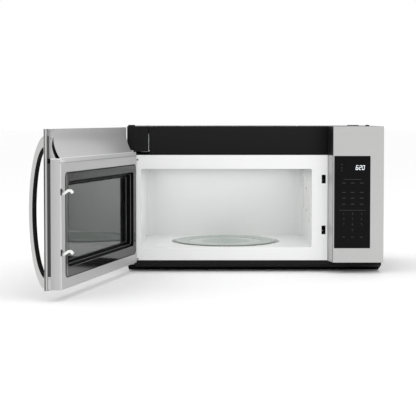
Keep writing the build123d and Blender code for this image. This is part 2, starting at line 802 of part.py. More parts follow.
with BuildPart() as control_housing:
    # moulded box behind the fascia; the side towards the oven leans out
    housing_bottom = fascia_bottom + seat_gap
    housing_top = case_height - seat_gap
    housing_right = right_x - fascia_sheet
    for inset, mode in ((0, Mode.ADD), (housing_wall, Mode.SUBTRACT)):
        with BuildSketch(Plane.XY.offset(housing_bottom + inset)):
            with BuildLine():
                Polyline(
                    (panel_foot + inset, case_front),
                    (panel_side + inset, housing_y + inset),
                    (housing_right - inset, housing_y + inset),
                    (housing_right - inset, case_front),
                    close=True,
                )
            make_face()
        extrude(amount=housing_top - housing_bottom - 2 * inset, mode=mode)
    # window for the display
    display_right = panel_left + keypad_edge + keypad_width - display_inset
    display_left = display_right - display_width
    display_top = keypad_bottom + keypad_height - display_drop
    with BuildSketch(Plane.XZ.offset(-housing_y)):
        with Locations(((display_left + display_right) / 2, display_top - display_height / 2)):
            Rectangle(display_width + 2 * seat_gap, display_height + 2 * seat_gap)
    extrude(amount=-housing_wall, mode=Mode.SUBTRACT)
    # standoffs that carry the control board
    board_y = housing_y + housing_wall + board_standoff
    board_left = panel_side + housing_wall + board_edge
    board_right = housing_right - housing_wall - board_edge
    board_top = display_top - display_height - board_edge
    board_bottom = keypad_bottom
    with BuildSketch(Plane.XZ.offset(-board_y)):
        with Locations(((board_left + board_right) / 2, (board_top + board_bottom) / 2)):
            with GridLocations(board_right - board_left - 2 * board_edge,
                               board_top - board_bottom - 2 * board_edge, 2, 2):
                Circle(board_edge / 2)
    extrude(amount=board_standoff)
control_housing.part.label = "control_housing"
export_step(control_housing.part, "parts/control_housing.step")

with BuildPart() as control_fascia:
    # folded stainless front with a short left lip and a full right side
    with BuildSketch(Plane.XY.offset(fascia_bottom)):
        with BuildLine():
            FilletPolyline(
                (panel_left, fascia_y + fascia_lip - seat_gap),
                (panel_left, fascia_y),
                (right_x, fascia_y),
                (right_x, case_front - seat_gap),
                radius=skin_bend_radius,
            )
            offset(amount=fascia_sheet, side=Side.LEFT)
        make_face()
    extrude(amount=case_height - fascia_bottom)
    # rounded top right corner, seen from the front
    with BuildSketch(Plane.XZ.offset(-front_y)):
        with Locations(((panel_left + right_x) / 2, (fascia_bottom + case_height) / 2)):
            Rectangle(panel_width, case_height - fascia_bottom)
        fillet(vertices().sort_by(Axis.X)[-2:], radius=fascia_corner)
    extrude(amount=panel_depth, mode=Mode.INTERSECT)
    window(Plane.XZ.offset(-fascia_y), panel_left + keypad_edge, keypad_bottom, keypad_width,
           keypad_height, skin_bend_radius, -fascia_sheet, mode=Mode.SUBTRACT)
control_fascia.part.label = "control_fascia"
export_step(control_fascia.part, "parts/control_fascia.step")

with BuildPart() as keypad_glass:
    # one touch glass, let into the fascia, with a wider flange behind it
    window(Plane.XZ.offset(-fascia_y), panel_left + keypad_edge + seat_gap,
           keypad_bottom + seat_gap, keypad_width - 2 * seat_gap, keypad_height - 2 * seat_gap,
           skin_bend_radius, -keypad_glass_thickness)
keypad_glass.part.label = "keypad_glass"
export_step(keypad_glass.part, "parts/keypad_glass.step")

with BuildPart() as display:
    slab((display_left, display_right),
         (fascia_y + keypad_glass_thickness, fascia_y + keypad_glass_thickness + display_depth),
         (display_top - display_height, display_top))
display.part.label = "display"
export_step(display.part, "parts/display.step")

with BuildPart() as control_board:
    slab((board_left, board_right), (board_y, board_y + board_thickness), (board_bottom, board_top))
    # relays and the transformer that feeds them
    with BuildSketch(Plane.XZ.offset(-board_y - board_thickness)):
        with Locations(((board_left + board_right) / 2, (board_top + board_bottom) / 2)):
            with GridLocations(2 * relay_size, 3 * relay_size, 2, 3):
                Rectangle(relay_size, relay_size)
    extrude(amount=-relay_height)
control_board.part.label = "control_board"
export_step(control_board.part, "parts/control_board.step")

# ================================================================ door latch keeper and switches

tip_y = front_y - door_gap + hook_length
board_plate_x = latch_x + slot_width / 2 + seat_gap
switch_front = tip_y + plunger_reach_length - plunger_travel

with BuildPart() as latch_board:
    # moulded bracket beside the hooks, with a sill that each hook drops behind
    slab((board_plate_x, board_plate_x + keeper_thickness), (case_front, switch_front + switch_length),
         (hook_feet[0] - slot_height, hook_feet[1] + slot_height))
    for foot in hook_feet:
        hook_middle = foot + (hook_rise_height - hook_thickness) / 2
        keeper_top = hook_middle + keeper_engage_height - keeper_thickness
        keeper_y = front_y + keeper_setback
        slab((latch_x - slot_width / 2, board_plate_x), (keeper_y, keeper_y + keeper_thickness),
             (foot - slot_height / 2, keeper_top))
latch_board.part.label = "latch_board"
export_step(latch_board.part, "parts/latch_board.step")

with BuildPart() as interlock_switches:
    # two snap switches stand behind the hooks
    for foot in hook_feet:
        slab((board_plate_x - switch_width, board_plate_x),
             (switch_front, switch_front + switch_length), (foot, foot + switch_height))
        round_bar(Plane.XZ.offset(-switch_front), (latch_x, foot + plunger_diameter),
                  plunger_diameter + 2 * running_gap, -plunger_reach_length, mode=Mode.SUBTRACT)
interlock_switches.part.label = "interlock_switches"
export_step(interlock_switches.part, "parts/interlock_switches.step")

for name, foot in zip(("lower", "upper"), hook_feet):
    with BuildPart() as switch_plunger:
        round_bar(Plane.XZ.offset(-tip_y + plunger_travel), (latch_x, foot + plunger_diameter),
                  plunger_diameter, 2 * plunger_travel - 2 * plunger_reach_length)
    switch_plunger.part.label = f"{name}_switch_plunger"
    export_step(switch_plunger.part, f"parts/{name}_switch_plunger.step")

# ================================================================ door

inner_face = door_thickness
cover_back = core_depth
slant = door_slant_width / door_thickness


def door_end(depth, inset=0.0):
    # where the slanted free end lies at a depth from the outer face
    return free_edge - slant * depth - inset * sqrt(1 + slant**2)


def plan_along(corner):
    # sketch corners are given in the sketch's own coordinates
    return corner.X


def plan_depth(corner):
    return corner.Y


def cover_block(inset):
    # the door's inner half: round hinge side, slanted free end, bevelled top lip
    with BuildPart() as block:
        with BuildSketch(door_plane.offset(core_bottom + inset)):
            with BuildLine():
                Polyline(
                    (-door_edge + inset, cover_back),
                    (-door_edge + inset, inner_face - inset),
                    (door_end(inner_face - inset, inset), inner_face - inset),
                    (door_end(cover_back, inset), cover_back),
                    close=True,
                )
            make_face()
            inner_corners = vertices().sort_by(plan_depth)[-2:]
            hinge_corner, free_corner = inner_corners.sort_by(plan_along)
            fillet(hinge_corner, radius=hinge_round_radius - inset)
            fillet(free_corner, radius=free_round_radius - inset / 2)
        extrude(amount=lip_top - core_bottom - 2 * inset)
        bevel_depth = inner_face - lip_slope_depth
        with BuildSketch(door_section(-2 * door_edge)):
            with BuildLine():
                Polyline(
                    (cover_back, core_bottom + inset),
                    (inner_face - inset, core_bottom + inset),
                    (inner_face - inset, inner_top - inset / 2),
                    (bevel_depth - inset, lip_top - inset),
                    (cover_back, lip_top - inset),
                    close=True,
                )
            make_face()
        extrude(amount=2 * free_edge, mode=Mode.INTERSECT)
    return block.part


cover_outside = cover_block(0.0)
cover_inside = cover_block(cover_wall)

# The scoop plate's section: straight at the top, then an arc that runs out to the lip.
arc_top = door_top - scoop_straight
arc_drop = arc_top - lip_top
scoop_run = scoop_radius - sqrt(scoop_radius**2 - arc_drop**2)
scoop_end = free_edge - slant * (cap_depth + scoop_run) - cap_inset


def scoop_depth(height, gap=0.0):
    # depth of the scoop plate's inner side at a height, or of a curve that runs beside it
    return cap_depth + scoop_radius - sqrt((scoop_radius + gap)**2 - (arc_top - height)**2)


handle_line = handle_left + handle_width / 2
screw_heights = [
    handle_centre - (handle_half_length + grip_half_length) / 2,
    handle_centre + (handle_half_length + grip_half_length) / 2,
]
post_top = screw_heights[1] + screw_head

with BuildPart() as door_skin:
    # stainless outer skin, folded back along the hinge side and the free end
    with BuildSketch(door_plane.offset(door_bottom)):
        with BuildLine():
            FilletPolyline(
                (-door_edge, skin_return_depth),
                (-door_edge, 0),
                (free_edge, 0),
                (free_edge - skin_return_slant_width, skin_return_depth),
                radius=skin_bend_radius,
            )
            offset(amount=skin_sheet, side=Side.LEFT)
        make_face()
    extrude(amount=door_top - door_bottom)
    # lower return, and the cap that closes the air channel's top
    slab((-door_edge + skin_sheet, free_edge - skin_return_slant_width - skin_sheet), (0, skin_return_depth),
         (door_bottom, door_bottom + skin_sheet), base=door_plane)
    slab((scoop_notch, door_end(cap_depth, skin_sheet)), (0, cap_depth),
         (door_top - skin_sheet, door_top), base=door_plane)
    window(door_face(skin_sheet), window_left, window_bottom, window_length, window_height,
           opening_corner, skin_sheet, mode=Mode.SUBTRACT)
    with BuildSketch(door_face(skin_sheet)):
        for height in screw_heights:
            with Locations((handle_line, height)):
                Circle(screw_diameter / 2)
    extrude(amount=skin_sheet, mode=Mode.SUBTRACT)
door_skin.part.label = "door_skin"
export_step(door_skin.part, "parts/door_skin.step")

with BuildPart() as outer_glass:
    window(door_face(glass_recess + outer_glass_thickness), window_left + seat_gap,
           window_bottom + seat_gap, window_length - 2 * seat_gap, window_height - 2 * seat_gap,
           opening_corner - seat_gap, outer_glass_thickness)
outer_glass.part.label = "outer_glass"
export_step(outer_glass.part, "parts/outer_glass.step")

with BuildPart() as door_core:
    # black ring between the skin and the inner half, hollow at the back
    front = skin_sheet + seat_gap
    with BuildSketch(door_plane.offset(core_bottom)):
        with BuildLine():
            Polyline(
                (-door_edge + skin_sheet + seat_gap, front),
                (door_end(front, skin_sheet + seat_gap), front),
                (door_end(core_depth, skin_sheet + seat_gap), core_depth),
                (-door_edge + skin_sheet + seat_gap, core_depth),
                close=True,
            )
        make_face()
        fillet(vertices().sort_by(plan_depth)[:2], radius=skin_bend_radius)
    extrude(amount=core_top - core_bottom)
    # seat of the outer glass, and the opening behind it
    glass_back = glass_recess + outer_glass_thickness
    window(door_face(glass_back), window_left, window_bottom, window_length, window_height,
           opening_corner, glass_back, mode=Mode.SUBTRACT)
    window(door_face(core_depth), window_left + core_ledge_width, window_bottom + core_ledge_width,
           window_length - 2 * core_ledge_width, window_height - 2 * core_ledge_width, opening_corner,
           core_depth, mode=Mode.SUBTRACT)
    # the back is cored out to a constant wall
    core_floor = glass_back + core_web_thickness
    with BuildSketch(door_face(core_depth)):
        pocket_left = -door_edge + skin_sheet + seat_gap + cover_wall
        pocket_right = door_end(core_depth, skin_sheet) - cover_wall - core_web_thickness
        pocket_bottom = core_bottom + cover_wall
        pocket_top = core_top - cover_wall
        with Locations(((pocket_left + pocket_right) / 2, (pocket_bottom + pocket_top) / 2)):
            Rectangle(pocket_right - pocket_left, pocket_top - pocket_bottom)
        with Locations((window_left + window_length / 2, window_bottom + window_height / 2)):
            Rectangle(window_length - 2 * core_ledge_width + 2 * cover_wall,
                      window_height - 2 * core_ledge_width + 2 * cover_wall, mode=Mode.SUBTRACT)
    extrude(amount=core_depth - core_floor, mode=Mode.SUBTRACT)
    # post up to the handle's upper foot
    slab((handle_line - core_post_width / 2, scoop_end - scoop_sheet - seat_gap),
         (front, core_floor), (core_top - cover_wall, post_top), base=door_plane)
    # bosses round the hinge bushings
    boss_diameter = pin_diameter + 2 * (running_gap + bushing_wall + boss_wall)
    boss_length = bushing_length + boss_wall
    for start, length in ((core_bottom + cover_wall, boss_length),
                          (lip_top - cover_wall, -boss_length)):
        round_bar(door_plane.offset(start), (0, hinge_depth), boss_diameter, length)
        slab((-boss_diameter / 2, boss_diameter / 2), (core_floor, hinge_depth),
             (min(start, start + length), max(start, start + length)), base=door_plane)
    for start, length in ((core_bottom, bushing_length), (lip_top, -bushing_length)):
        round_bar(door_plane.offset(start), (0, hinge_depth),
                  pin_diameter + 2 * (running_gap + bushing_wall), length, mode=Mode.SUBTRACT)
    # holes for the handle's screws
    with BuildSketch(door_face(core_floor)):
        for height in screw_heights:
            with Locations((handle_line, height)):
                Circle(screw_diameter / 2)
    extrude(amount=core_floor, mode=Mode.SUBTRACT)
door_core.part.label = "door_core"
export_step(door_core.part, "parts/door_core.step")

with BuildPart() as door_bushings:
    # flanged bushings carry the door on the two pins
    for start, length in ((core_bottom, 1), (lip_top, -1)):
        round_bar(door_plane.offset(start), (0, hinge_depth),
                  pin_diameter + 2 * (running_gap + bushing_wall), length * bushing_length)
        round_bar(door_plane.offset(start), (0, hinge_depth), boss_diameter,
                  -length * bushing_flange)
    for start, length in ((core_bottom, 1), (lip_top, -1)):
        round_bar(door_plane.offset(start - length * bushing_flange), (0, hinge_depth),
                  pin_diameter + 2 * running_gap, length * (bushing_length + bushing_flange),
                  mode=Mode.SUBTRACT)
door_bushings.part.label = "door_bushings"
export_step(door_bushings.part, "parts/door_bushings.step")

with BuildPart() as choke_cover:
    add(cover_outside)
    add(cover_inside, mode=Mode.SUBTRACT)
    # open towards the core
    slab((-door_edge + cover_wall, door_end(cover_back, cover_wall)), (0, cover_back + cover_wall),
         (core_bottom + cover_wall, lip_top - cover_wall), base=door_plane, mode=Mode.SUBTRACT)
    # rebate behind the opening that the window trim's border rests on
    rebate_top = inner_face - border_depth - border_thickness - seat_gap
    rebate_back = inner_face - cover_wall - rebate_lip
    window(door_face(inner_face - cover_wall), groove_left - rebate_lip,
           groove_bottom - rebate_lip, groove_length + 2 * rebate_lip,
           groove_height + 2 * rebate_lip, groove_corner + rebate_lip, rebate_lip)
    window(door_face(inner_face), groove_left, groove_bottom, groove_length, groove_height,
           groove_corner, inner_face - rebate_top, mode=Mode.SUBTRACT)
    window(door_face(inner_face), groove_left + rebate_ledge, groove_bottom + rebate_ledge,
           groove_length - 2 * rebate_ledge, groove_height - 2 * rebate_ledge,
           groove_corner - rebate_ledge, inner_face - rebate_back, mode=Mode.SUBTRACT)
    # slots for the hooks, long enough for the latch to lift
    for foot in hook_feet:
        window(door_face(inner_face), latch_line - latch_width / 2 - seat_gap,
               foot - hook_thickness / 2 - seat_gap, latch_width + seat_gap + hook_slot_gap,
               hook_thickness + latch_travel + 4 * seat_gap, seat_gap, 2 * cover_wall,
               mode=Mode.SUBTRACT)
    for height in (core_bottom, lip_top - cover_wall):
        round_bar(door_plane.offset(height), (0, hinge_depth),
                  pin_diameter + 2 * (running_gap + bushing_wall) + 2 * running_gap, cover_wall,
                  mode=Mode.SUBTRACT)
choke_cover.part.label = "choke_cover"
export_step(choke_cover.part, "parts/choke_cover.step")

screen_back = core_depth + screen_sheet
block_back = screen_back + seat_gap + inner_glass_thickness
second_ledge_depth = inner_face - block_back - ledge_thickness

with BuildPart() as window_trim:
    # glossy border and a recess that narrows in two ledges down to the inner glass
    border_face = inner_face - border_depth
    border_back = border_face - border_thickness
    window(door_face(border_face), groove_left + groove_width,
           groove_bottom + groove_width, groove_length - 2 * groove_width,
           groove_height - 2 * groove_width, groove_corner - groove_width, border_thickness)
    window(door_face(border_back), recess_left - trim_block_wall, recess_bottom - trim_block_wall,
           recess_length + 2 * trim_block_wall, recess_height + 2 * trim_block_wall,
           recess_corner, border_back - block_back)
    ledge_faces = (border_face, inner_face - first_ledge_depth, inner_face - second_ledge_depth)
    ledge_backs = ledge_faces[1:] + (block_back,)
    for step, (face, back) in enumerate(zip(ledge_faces, ledge_backs)):
        inset = step * recess_step_width
        corner = recess_corner - step
        window(door_face(face), recess_left + inset, recess_bottom + inset,
               recess_length - 2 * inset, recess_height - 2 * inset, corner, face - back,
               mode=Mode.SUBTRACT)
        # each ledge's edge is eased, and catches the light
        edge = inset - ledge_chamfer_width
        with BuildSketch(door_face(face)) as mouth:
            with Locations((recess_left + recess_length / 2, recess_bottom + recess_height / 2)):
                RectangleRounded(recess_length - 2 * edge, recess_height - 2 * edge,
                                 corner + ledge_chamfer_width)
        extrude(mouth.sketch, amount=ledge_chamfer_width, taper=45, mode=Mode.SUBTRACT)
window_trim.part.label = "window_trim"
export_step(window_trim.part, "parts/window_trim.step")

with BuildPart() as inner_glass:
    glass_left = recess_left + 2 * recess_step_width - glass_overlap
    glass_bottom = recess_bottom + 2 * recess_step_width - glass_overlap
    window(door_face(block_back), glass_left, glass_bottom,
           recess_length - 4 * recess_step_width + 2 * glass_overlap,
           recess_height - 4 * recess_step_width + 2 * glass_overlap, ledge_thickness,
           inner_glass_thickness)
inner_glass.part.label = "inner_glass"
export_step(inner_glass.part, "parts/inner_glass.step")

with BuildPart() as door_screen:
    # steel inner door: a flat screen with an upright choke wall round the window
    screen_left = boss_diameter / 2 + seat_gap
    screen_right = door_end(core_depth + screen_sheet, cover_wall + seat_gap)
    screen_bottom = core_bottom + cover_wall + seat_gap
    screen_top = core_top
    slab((screen_left, screen_right), (core_depth, screen_back), (screen_bottom, screen_top),
         base=door_plane)
    choke_left = groove_left + choke_margin
    choke_right = groove_left + groove_length + choke_margin / 2
    choke_bottom = groove_bottom - choke_margin
    choke_top = groove_bottom + groove_height + choke_margin
    slab((choke_left, choke_right), (screen_back, screen_back + choke_depth),
         (choke_bottom, choke_top), base=door_plane)
    slab((choke_left + screen_sheet, choke_right - screen_sheet),
         (screen_back, screen_back + choke_depth),
         (choke_bottom + screen_sheet, choke_top - screen_sheet), base=door_plane,
         mode=Mode.SUBTRACT)
    # folded tab that the latch's spring bears against
    spring_foot = latch_base + latch_spacing + hook_rise_height + seat_gap
    spring_top = spring_foot + 4 * hook_thickness
    slab((latch_line - latch_width, latch_line + latch_width), (screen_back, latch_bar_inner),
         (spring_top + seat_gap, spring_top + seat_gap + screen_sheet), base=door_plane)
door_screen.part.label = "door_screen"
export_step(door_screen.part, "parts/door_screen.step")

with BuildPart() as scoop_plate:
    # curved plate that leads the vent air up between the door and the band
    with BuildSketch(door_section(scoop_notch)):
        with BuildLine():
            middle = (arc_top + lip_top) / 2
            Line((cap_depth, door_top - skin_sheet), (cap_depth, arc_top))
            ThreePointArc(
                (cap_depth, arc_top),
                (scoop_depth(middle), middle),
                (scoop_depth(lip_top), lip_top),
            )
            offset(amount=scoop_sheet, side=Side.RIGHT)
        make_face()
    extrude(amount=scoop_end - scoop_notch)
    # the foot is cut level, to stand on the lip
    slab((0, free_edge), (0, door_thickness), (inner_top, lip_top), base=door_plane,
         mode=Mode.SUBTRACT)
scoop_plate.part.label = "scoop_plate"
export_step(scoop_plate.part, "parts/scoop_plate.step")

with BuildPart() as scoop_end_caps:
    # gussets close both ends of the channel between the skin and the scoop plate
    cap_front = skin_sheet + seat_gap
    cap_top = door_top - skin_sheet
    snug = scoop_sheet + seat_gap
    for along, gap in ((scoop_notch, snug), (scoop_end - scoop_sheet, cap_gap)):
        # the free-end gusset leaves a crescent beside the plate that widens to the lip
        with BuildSketch(door_section(along)):
            with BuildLine():
                middle = (arc_top + lip_top) / 2
                Polyline(
                    (scoop_depth(lip_top, gap), lip_top),
                    (cap_front, lip_top),
                    (cap_front, cap_top),
                    (cap_depth - snug, cap_top),
                    (cap_depth - snug, arc_top),
                )
                ThreePointArc(
                    (cap_depth - snug, arc_top),
                    (scoop_depth(middle, (snug + gap) / 2), middle),
                    (scoop_depth(lip_top, gap), lip_top),
                )
            make_face()
        extrude(amount=scoop_sheet)
    # hole of the small screw that holds the free-end gusset
    round_bar(door_section(scoop_end - scoop_sheet), (cap_screw_depth, door_top - cap_screw_drop),
              cap_screw_diameter, scoop_sheet, mode=Mode.SUBTRACT)
scoop_end_caps.part.label = "scoop_end_caps"
export_step(scoop_end_caps.part, "parts/scoop_end_caps.step")


def half_ellipse(half_length, projection):
    # a bow that stands out from the door's outer face
    with Locations((0, handle_centre)):
        Ellipse(projection, half_length)
        Rectangle(2 * projection, 2 * half_length, align=(Align.MIN, Align.CENTER),
                  mode=Mode.SUBTRACT)


def strap(left, width, outer, inner):
    # the part of a bow that lies between two half ellipses, across part of the handle
    with BuildPart() as band:
        with BuildSketch(door_section(left)):
            half_ellipse(*outer)
        extrude(amount=width)
        with BuildSketch(door_section(left)):
            half_ellipse(*inner)
        extrude(amount=width, mode=Mode.SUBTRACT)
    return band.part


grip_bow = (grip_half_length, grip_projection)
handle_strap = strap(handle_left, handle_width, (handle_half_length, handle_projection), grip_bow)
liner_strap = strap(
    handle_left + liner_inset, handle_width - 2 * liner_inset, grip_bow,
    (grip_half_length - liner_thickness, grip_projection - liner_thickness),
)

with BuildPart() as door_handle:
    # bowed steel strap with solid feet and eased outer edges
    add(handle_strap)
    outer_edges = door_handle.edges().filter_by(GeomType.ELLIPSE).sort_by(Edge.length)[-2:]
    chamfer(outer_edges, length=handle_chamfer_width)
    # tapped holes for the two screws
    with BuildSketch(door_face(0)):
        for height in screw_heights:
            with Locations((handle_line, height)):
                Circle(screw_diameter / 2)
    extrude(amount=2 * screw_engagement, mode=Mode.SUBTRACT)
door_handle.part.label = "door_handle"
export_step(door_handle.part, "parts/door_handle.step")

with BuildPart() as handle_liner:
    # dark soft strip inside the grip
    add(liner_strap)
handle_liner.part.label = "handle_liner"
export_step(handle_liner.part, "parts/handle_liner.step")

with BuildPart() as handle_screws:
    for height in screw_heights:
        round_bar(door_face(core_floor + screw_diameter / 2), (handle_line, height), screw_head,
                  screw_diameter / 2)
        round_bar(door_face(core_floor), (handle_line, height), screw_diameter - 2 * running_gap,
                  core_floor + screw_engagement)
handle_screws.part.label = "handle_screws"
export_step(handle_screws.part, "parts/handle_screws.step")

with BuildPart() as latch_head:
    # one moulding: an upright bar behind the door's inner face and two hooks
    with BuildSketch(door_section(latch_line - latch_width / 2)):
        with Locations((latch_bar_inner - latch_bar_depth / 2, latch_base + latch_spacing / 2)):
            Rectangle(latch_bar_depth, latch_spacing + 2 * hook_rise_height)
        for foot in hook_feet:
            hook_top = foot + hook_rise_height - hook_thickness / 2
            tip_depth = inner_face + hook_length - hook_thickness / 2
            with BuildLine() as hook_line:
                Polyline(
                    (latch_bar_inner - hook_thickness, foot),
                    (inner_face + hook_thickness / 3, foot),
                    (inner_face + hook_length / 2, hook_top),
                    (tip_depth - hook_thickness, hook_top),
                    (tip_depth, foot + plunger_diameter),
                )
            trace(hook_line.line, line_width=hook_thickness)
    extrude(amount=latch_width)
latch_head.part.label = "latch_head"
export_step(latch_head.part, "parts/latch_head.step")

with BuildPart() as latch_spring:
    # holds the latch down, between the bar's upper end and the screen's tab
    with BuildSketch(door_plane.offset(spring_foot)):
        with Locations((latch_line, latch_bar_inner - latch_bar_depth / 2)):
            Circle(hook_thickness / 2)
            Circle(hook_thickness / 2 - skin_sheet, mode=Mode.SUBTRACT)
    extrude(amount=spring_top - spring_foot)
latch_spring.part.label = "latch_spring"
export_step(latch_spring.part, "parts/latch_spring.step")

# ================================================================ underside fittings

with BuildPart() as grease_filters:
    # two aluminium frames with thinner mesh pads, let into the base from above
    filter_places = [(-filter_spacing / 2, filter_y), (filter_spacing / 2, filter_y)]
    with BuildSketch(Plane.XY.offset(base_sheet)):
        with Locations(*filter_places):
            RectangleRounded(filter_length, filter_width, filter_border / 2)
    extrude(amount=filter_thickness)
    for height in (base_sheet, base_sheet + filter_thickness - pad_gap):
        with BuildSketch(Plane.XY.offset(height)):
            with Locations(*filter_places):
                Rectangle(filter_length - 2 * pad_inset, filter_width - 2 * pad_inset)
        extrude(amount=pad_gap, mode=Mode.SUBTRACT)
grease_filters.part.label = "grease_filters"
export_step(grease_filters.part, "parts/grease_filters.step")

with BuildPart() as cooktop_lens:
    slab((-lens_length / 2, lens_length / 2), (lens_y - lens_width / 2, lens_y + lens_width / 2),
         (base_sheet, base_sheet + lens_thickness))
cooktop_lens.part.label = "cooktop_lens"
export_step(cooktop_lens.part, "parts/cooktop_lens.step")

with BuildPart() as cooktop_lamp:
    # bulb lying above the lens, in a holder that stands on the base
    lamp_z = base_tray_height - lamp_diameter / 2
    lamp_start = lens_length / 2 - lamp_length / 2
    with BuildSketch(Plane.XZ.offset(-lens_y)):
        with BuildLine():
            Polyline(
                (lamp_start - lamp_length, lamp_z),
                (lamp_start - lamp_length, lamp_z + lamp_diameter / 4),
                (lamp_start - lamp_length + lamp_diameter / 4, lamp_z + lamp_diameter / 2),
                (lamp_start - lamp_diameter / 4, lamp_z + lamp_diameter / 2),
                (lamp_start, lamp_z + lamp_base_diameter / 2),
                (lamp_start, lamp_z),
                close=True,
            )
        make_face()
    revolve(axis=Axis((0, lens_y, lamp_z), (1, 0, 0)))
    round_bar(Plane.YZ.offset(lamp_start), (lens_y, lamp_z), lamp_base_diameter,
              lens_length / 2 + hook_rise_height - lamp_start)
    slab((lens_length / 2 + seat_gap, lens_length / 2 + hook_rise_height),
         (lens_y - lamp_diameter / 2, lens_y + lamp_diameter / 2), (base_sheet, base_tray_height))
cooktop_lamp.part.label = "cooktop_lamp"
export_step(cooktop_lamp.part, "parts/cooktop_lamp.step")

# ================================================================ component bay

with BuildPart() as component_shelf:
    shelf_top = base_tray_height + shelf_sheet
    slab((bay_left, pan_half), (pan_front, case_back), (base_tray_height, shelf_top))
    # folded front edge
    slab((bay_left, pan_half), (pan_front, pan_front + shelf_sheet),
         (base_tray_height, base_tray_height + hook_rise_height))
component_shelf.part.label = "component_shelf"
export_step(component_shelf.part, "parts/component_shelf.step")

transformer_x = (bay_left + right_x) / 2 + winding_bulge_width
transformer_z = shelf_top + transformer_height / 2
coil_window_height = transformer_height - 2 * yoke_height

with BuildPart() as transformer:
    # stacked laminations with a window each side of the middle limb
    with BuildSketch(Plane.XZ.offset(transformer_width / 2)):
        with Locations((transformer_x, transformer_z)):
            Rectangle(transformer_length, transformer_height)
            with GridLocations(coil_window_spacing, 0, 2, 1):
                Rectangle(coil_window_width, coil_window_height, mode=Mode.SUBTRACT)
    extrude(amount=-transformer_width)
    # windings round the middle limb, bulging out at both ends
    winding_height = coil_window_height - 2 * seat_gap
    inner_length = coil_window_spacing - coil_window_width + 2 * seat_gap
    outer_length = coil_window_spacing + coil_window_width - 2 * seat_gap
    with BuildSketch(Plane.XY.offset(transformer_z - winding_height / 2)):
        with Locations((transformer_x, 0)):
            RectangleRounded(outer_length, transformer_width + 2 * winding_bulge_width, winding_bulge_width)
            Rectangle(inner_length, transformer_width + 2 * seat_gap, mode=Mode.SUBTRACT)
    extrude(amount=winding_height)
transformer.part.label = "transformer"
export_step(transformer.part, "parts/transformer.step")

with BuildPart() as capacitor:
    capacitor_y = -transformer_width / 2 - 2 * winding_bulge_width - capacitor_width
    with BuildSketch(Plane.XY.offset(shelf_top)):
        with Locations((transformer_x, capacitor_y)):
            SlotOverall(capacitor_length, capacitor_width)
    extrude(amount=capacitor_height)
    # two flat terminals
    with BuildSketch(Plane.XY.offset(shelf_top + capacitor_height)):
        with Locations((transformer_x, capacitor_y)):
            with GridLocations(capacitor_length / 3, 0, 2, 1):
                Rectangle(screw_diameter, screw_diameter / 4)
    extrude(amount=screw_head)
capacitor.part.label = "capacitor"
export_step(capacitor.part, "parts/capacitor.step")

with BuildPart() as magnetron:
    # yoke round a stack of cooling fins, a filter box and the antenna in the duct
    magnetron_x = bay_left + duct_width
    yoke_wall = fin_gap
    low = port_z - magnetron_height / 2
    slab((magnetron_x, magnetron_x + magnetron_depth),
         (magnetron_y - magnetron_length / 2, magnetron_y + magnetron_length / 2),
         (low, low + magnetron_height))
    with BuildSketch(Plane.XZ.offset(-magnetron_y - magnetron_length / 2)):
        with Locations((magnetron_x + magnetron_depth / 2, port_z)):
            with GridLocations(0, 2 * fin_gap, 1, fin_count):
                Rectangle(magnetron_depth - 2 * yoke_wall, fin_gap)
    extrude(amount=magnetron_length, mode=Mode.SUBTRACT)
    slab((magnetron_x + magnetron_depth, magnetron_x + magnetron_depth + filter_box_width),
         (magnetron_y - filter_box_width, magnetron_y + filter_box_width), (low, low + magnetron_height / 2))
    round_bar(Plane.YZ.offset(magnetron_x), (magnetron_y, port_z), antenna_diameter,
              -antenna_length)
    chamfer(magnetron.edges().filter_by(GeomType.CIRCLE).sort_by(Axis.X)[0],
            length=antenna_diameter / 4)
magnetron.part.label = "magnetron"
export_step(magnetron.part, "parts/magnetron.step")

with BuildPart() as cavity_lamp:
    # bulb holder on the outside of the oven's right wall
    lamp_y = front_y + cover_setback
    cavity_lamp_z = cavity_top - lamp_diameter
    slab((bay_left, bay_left + lamp_diameter), (lamp_y - lamp_diameter / 2, lamp_y + lamp_diameter / 2),
         (cavity_lamp_z - lamp_diameter / 2, cavity_lamp_z + lamp_diameter / 2))
    round_bar(Plane.YZ.offset(bay_left + lamp_diameter), (lamp_y, cavity_lamp_z),
              lamp_base_diameter, lamp_diameter / 2)
cavity_lamp.part.label = "cavity_lamp"
export_step(cavity_lamp.part, "parts/cavity_lamp.step")

fan_x = (bay_left + right_x) / 2
fan_front = case_back - fan_depth
fan_motor_depth = fan_depth - fan_blade_depth - 2 * fan_tip_gap

with BuildPart() as fan_housing:
    # square duct with a motor held on four arms in front of the back plate
    with BuildSketch(Plane.XZ.offset(-case_back)):
        with Locations((fan_x, fan_height)):
            RectangleRounded(fan_size, fan_size, fan_hub_diameter / 4)
            Circle(fan_bore_diameter / 2, mode=Mode.SUBTRACT)
    extrude(amount=fan_depth)
    arm_width = fan_hub_diameter / 6
    with BuildSketch(Plane.XZ.offset(-case_back)):
        with Locations((fan_x, fan_height)):
            Circle(fan_hub_diameter / 2)
            with PolarLocations(0, 2, start_angle=45):
                Rectangle(fan_bore_diameter + arm_width, arm_width)
    extrude(amount=fan_motor_depth / 3)
    round_bar(Plane.XZ.offset(-case_back), (fan_x, fan_height), fan_hub_diameter, fan_motor_depth)
    round_bar(Plane.XZ.offset(-case_back), (fan_x, fan_height), flap_pin + 2 * running_gap,
              fan_motor_depth, mode=Mode.SUBTRACT)
fan_housing.part.label = "fan_housing"
export_step(fan_housing.part, "parts/fan_housing.step")

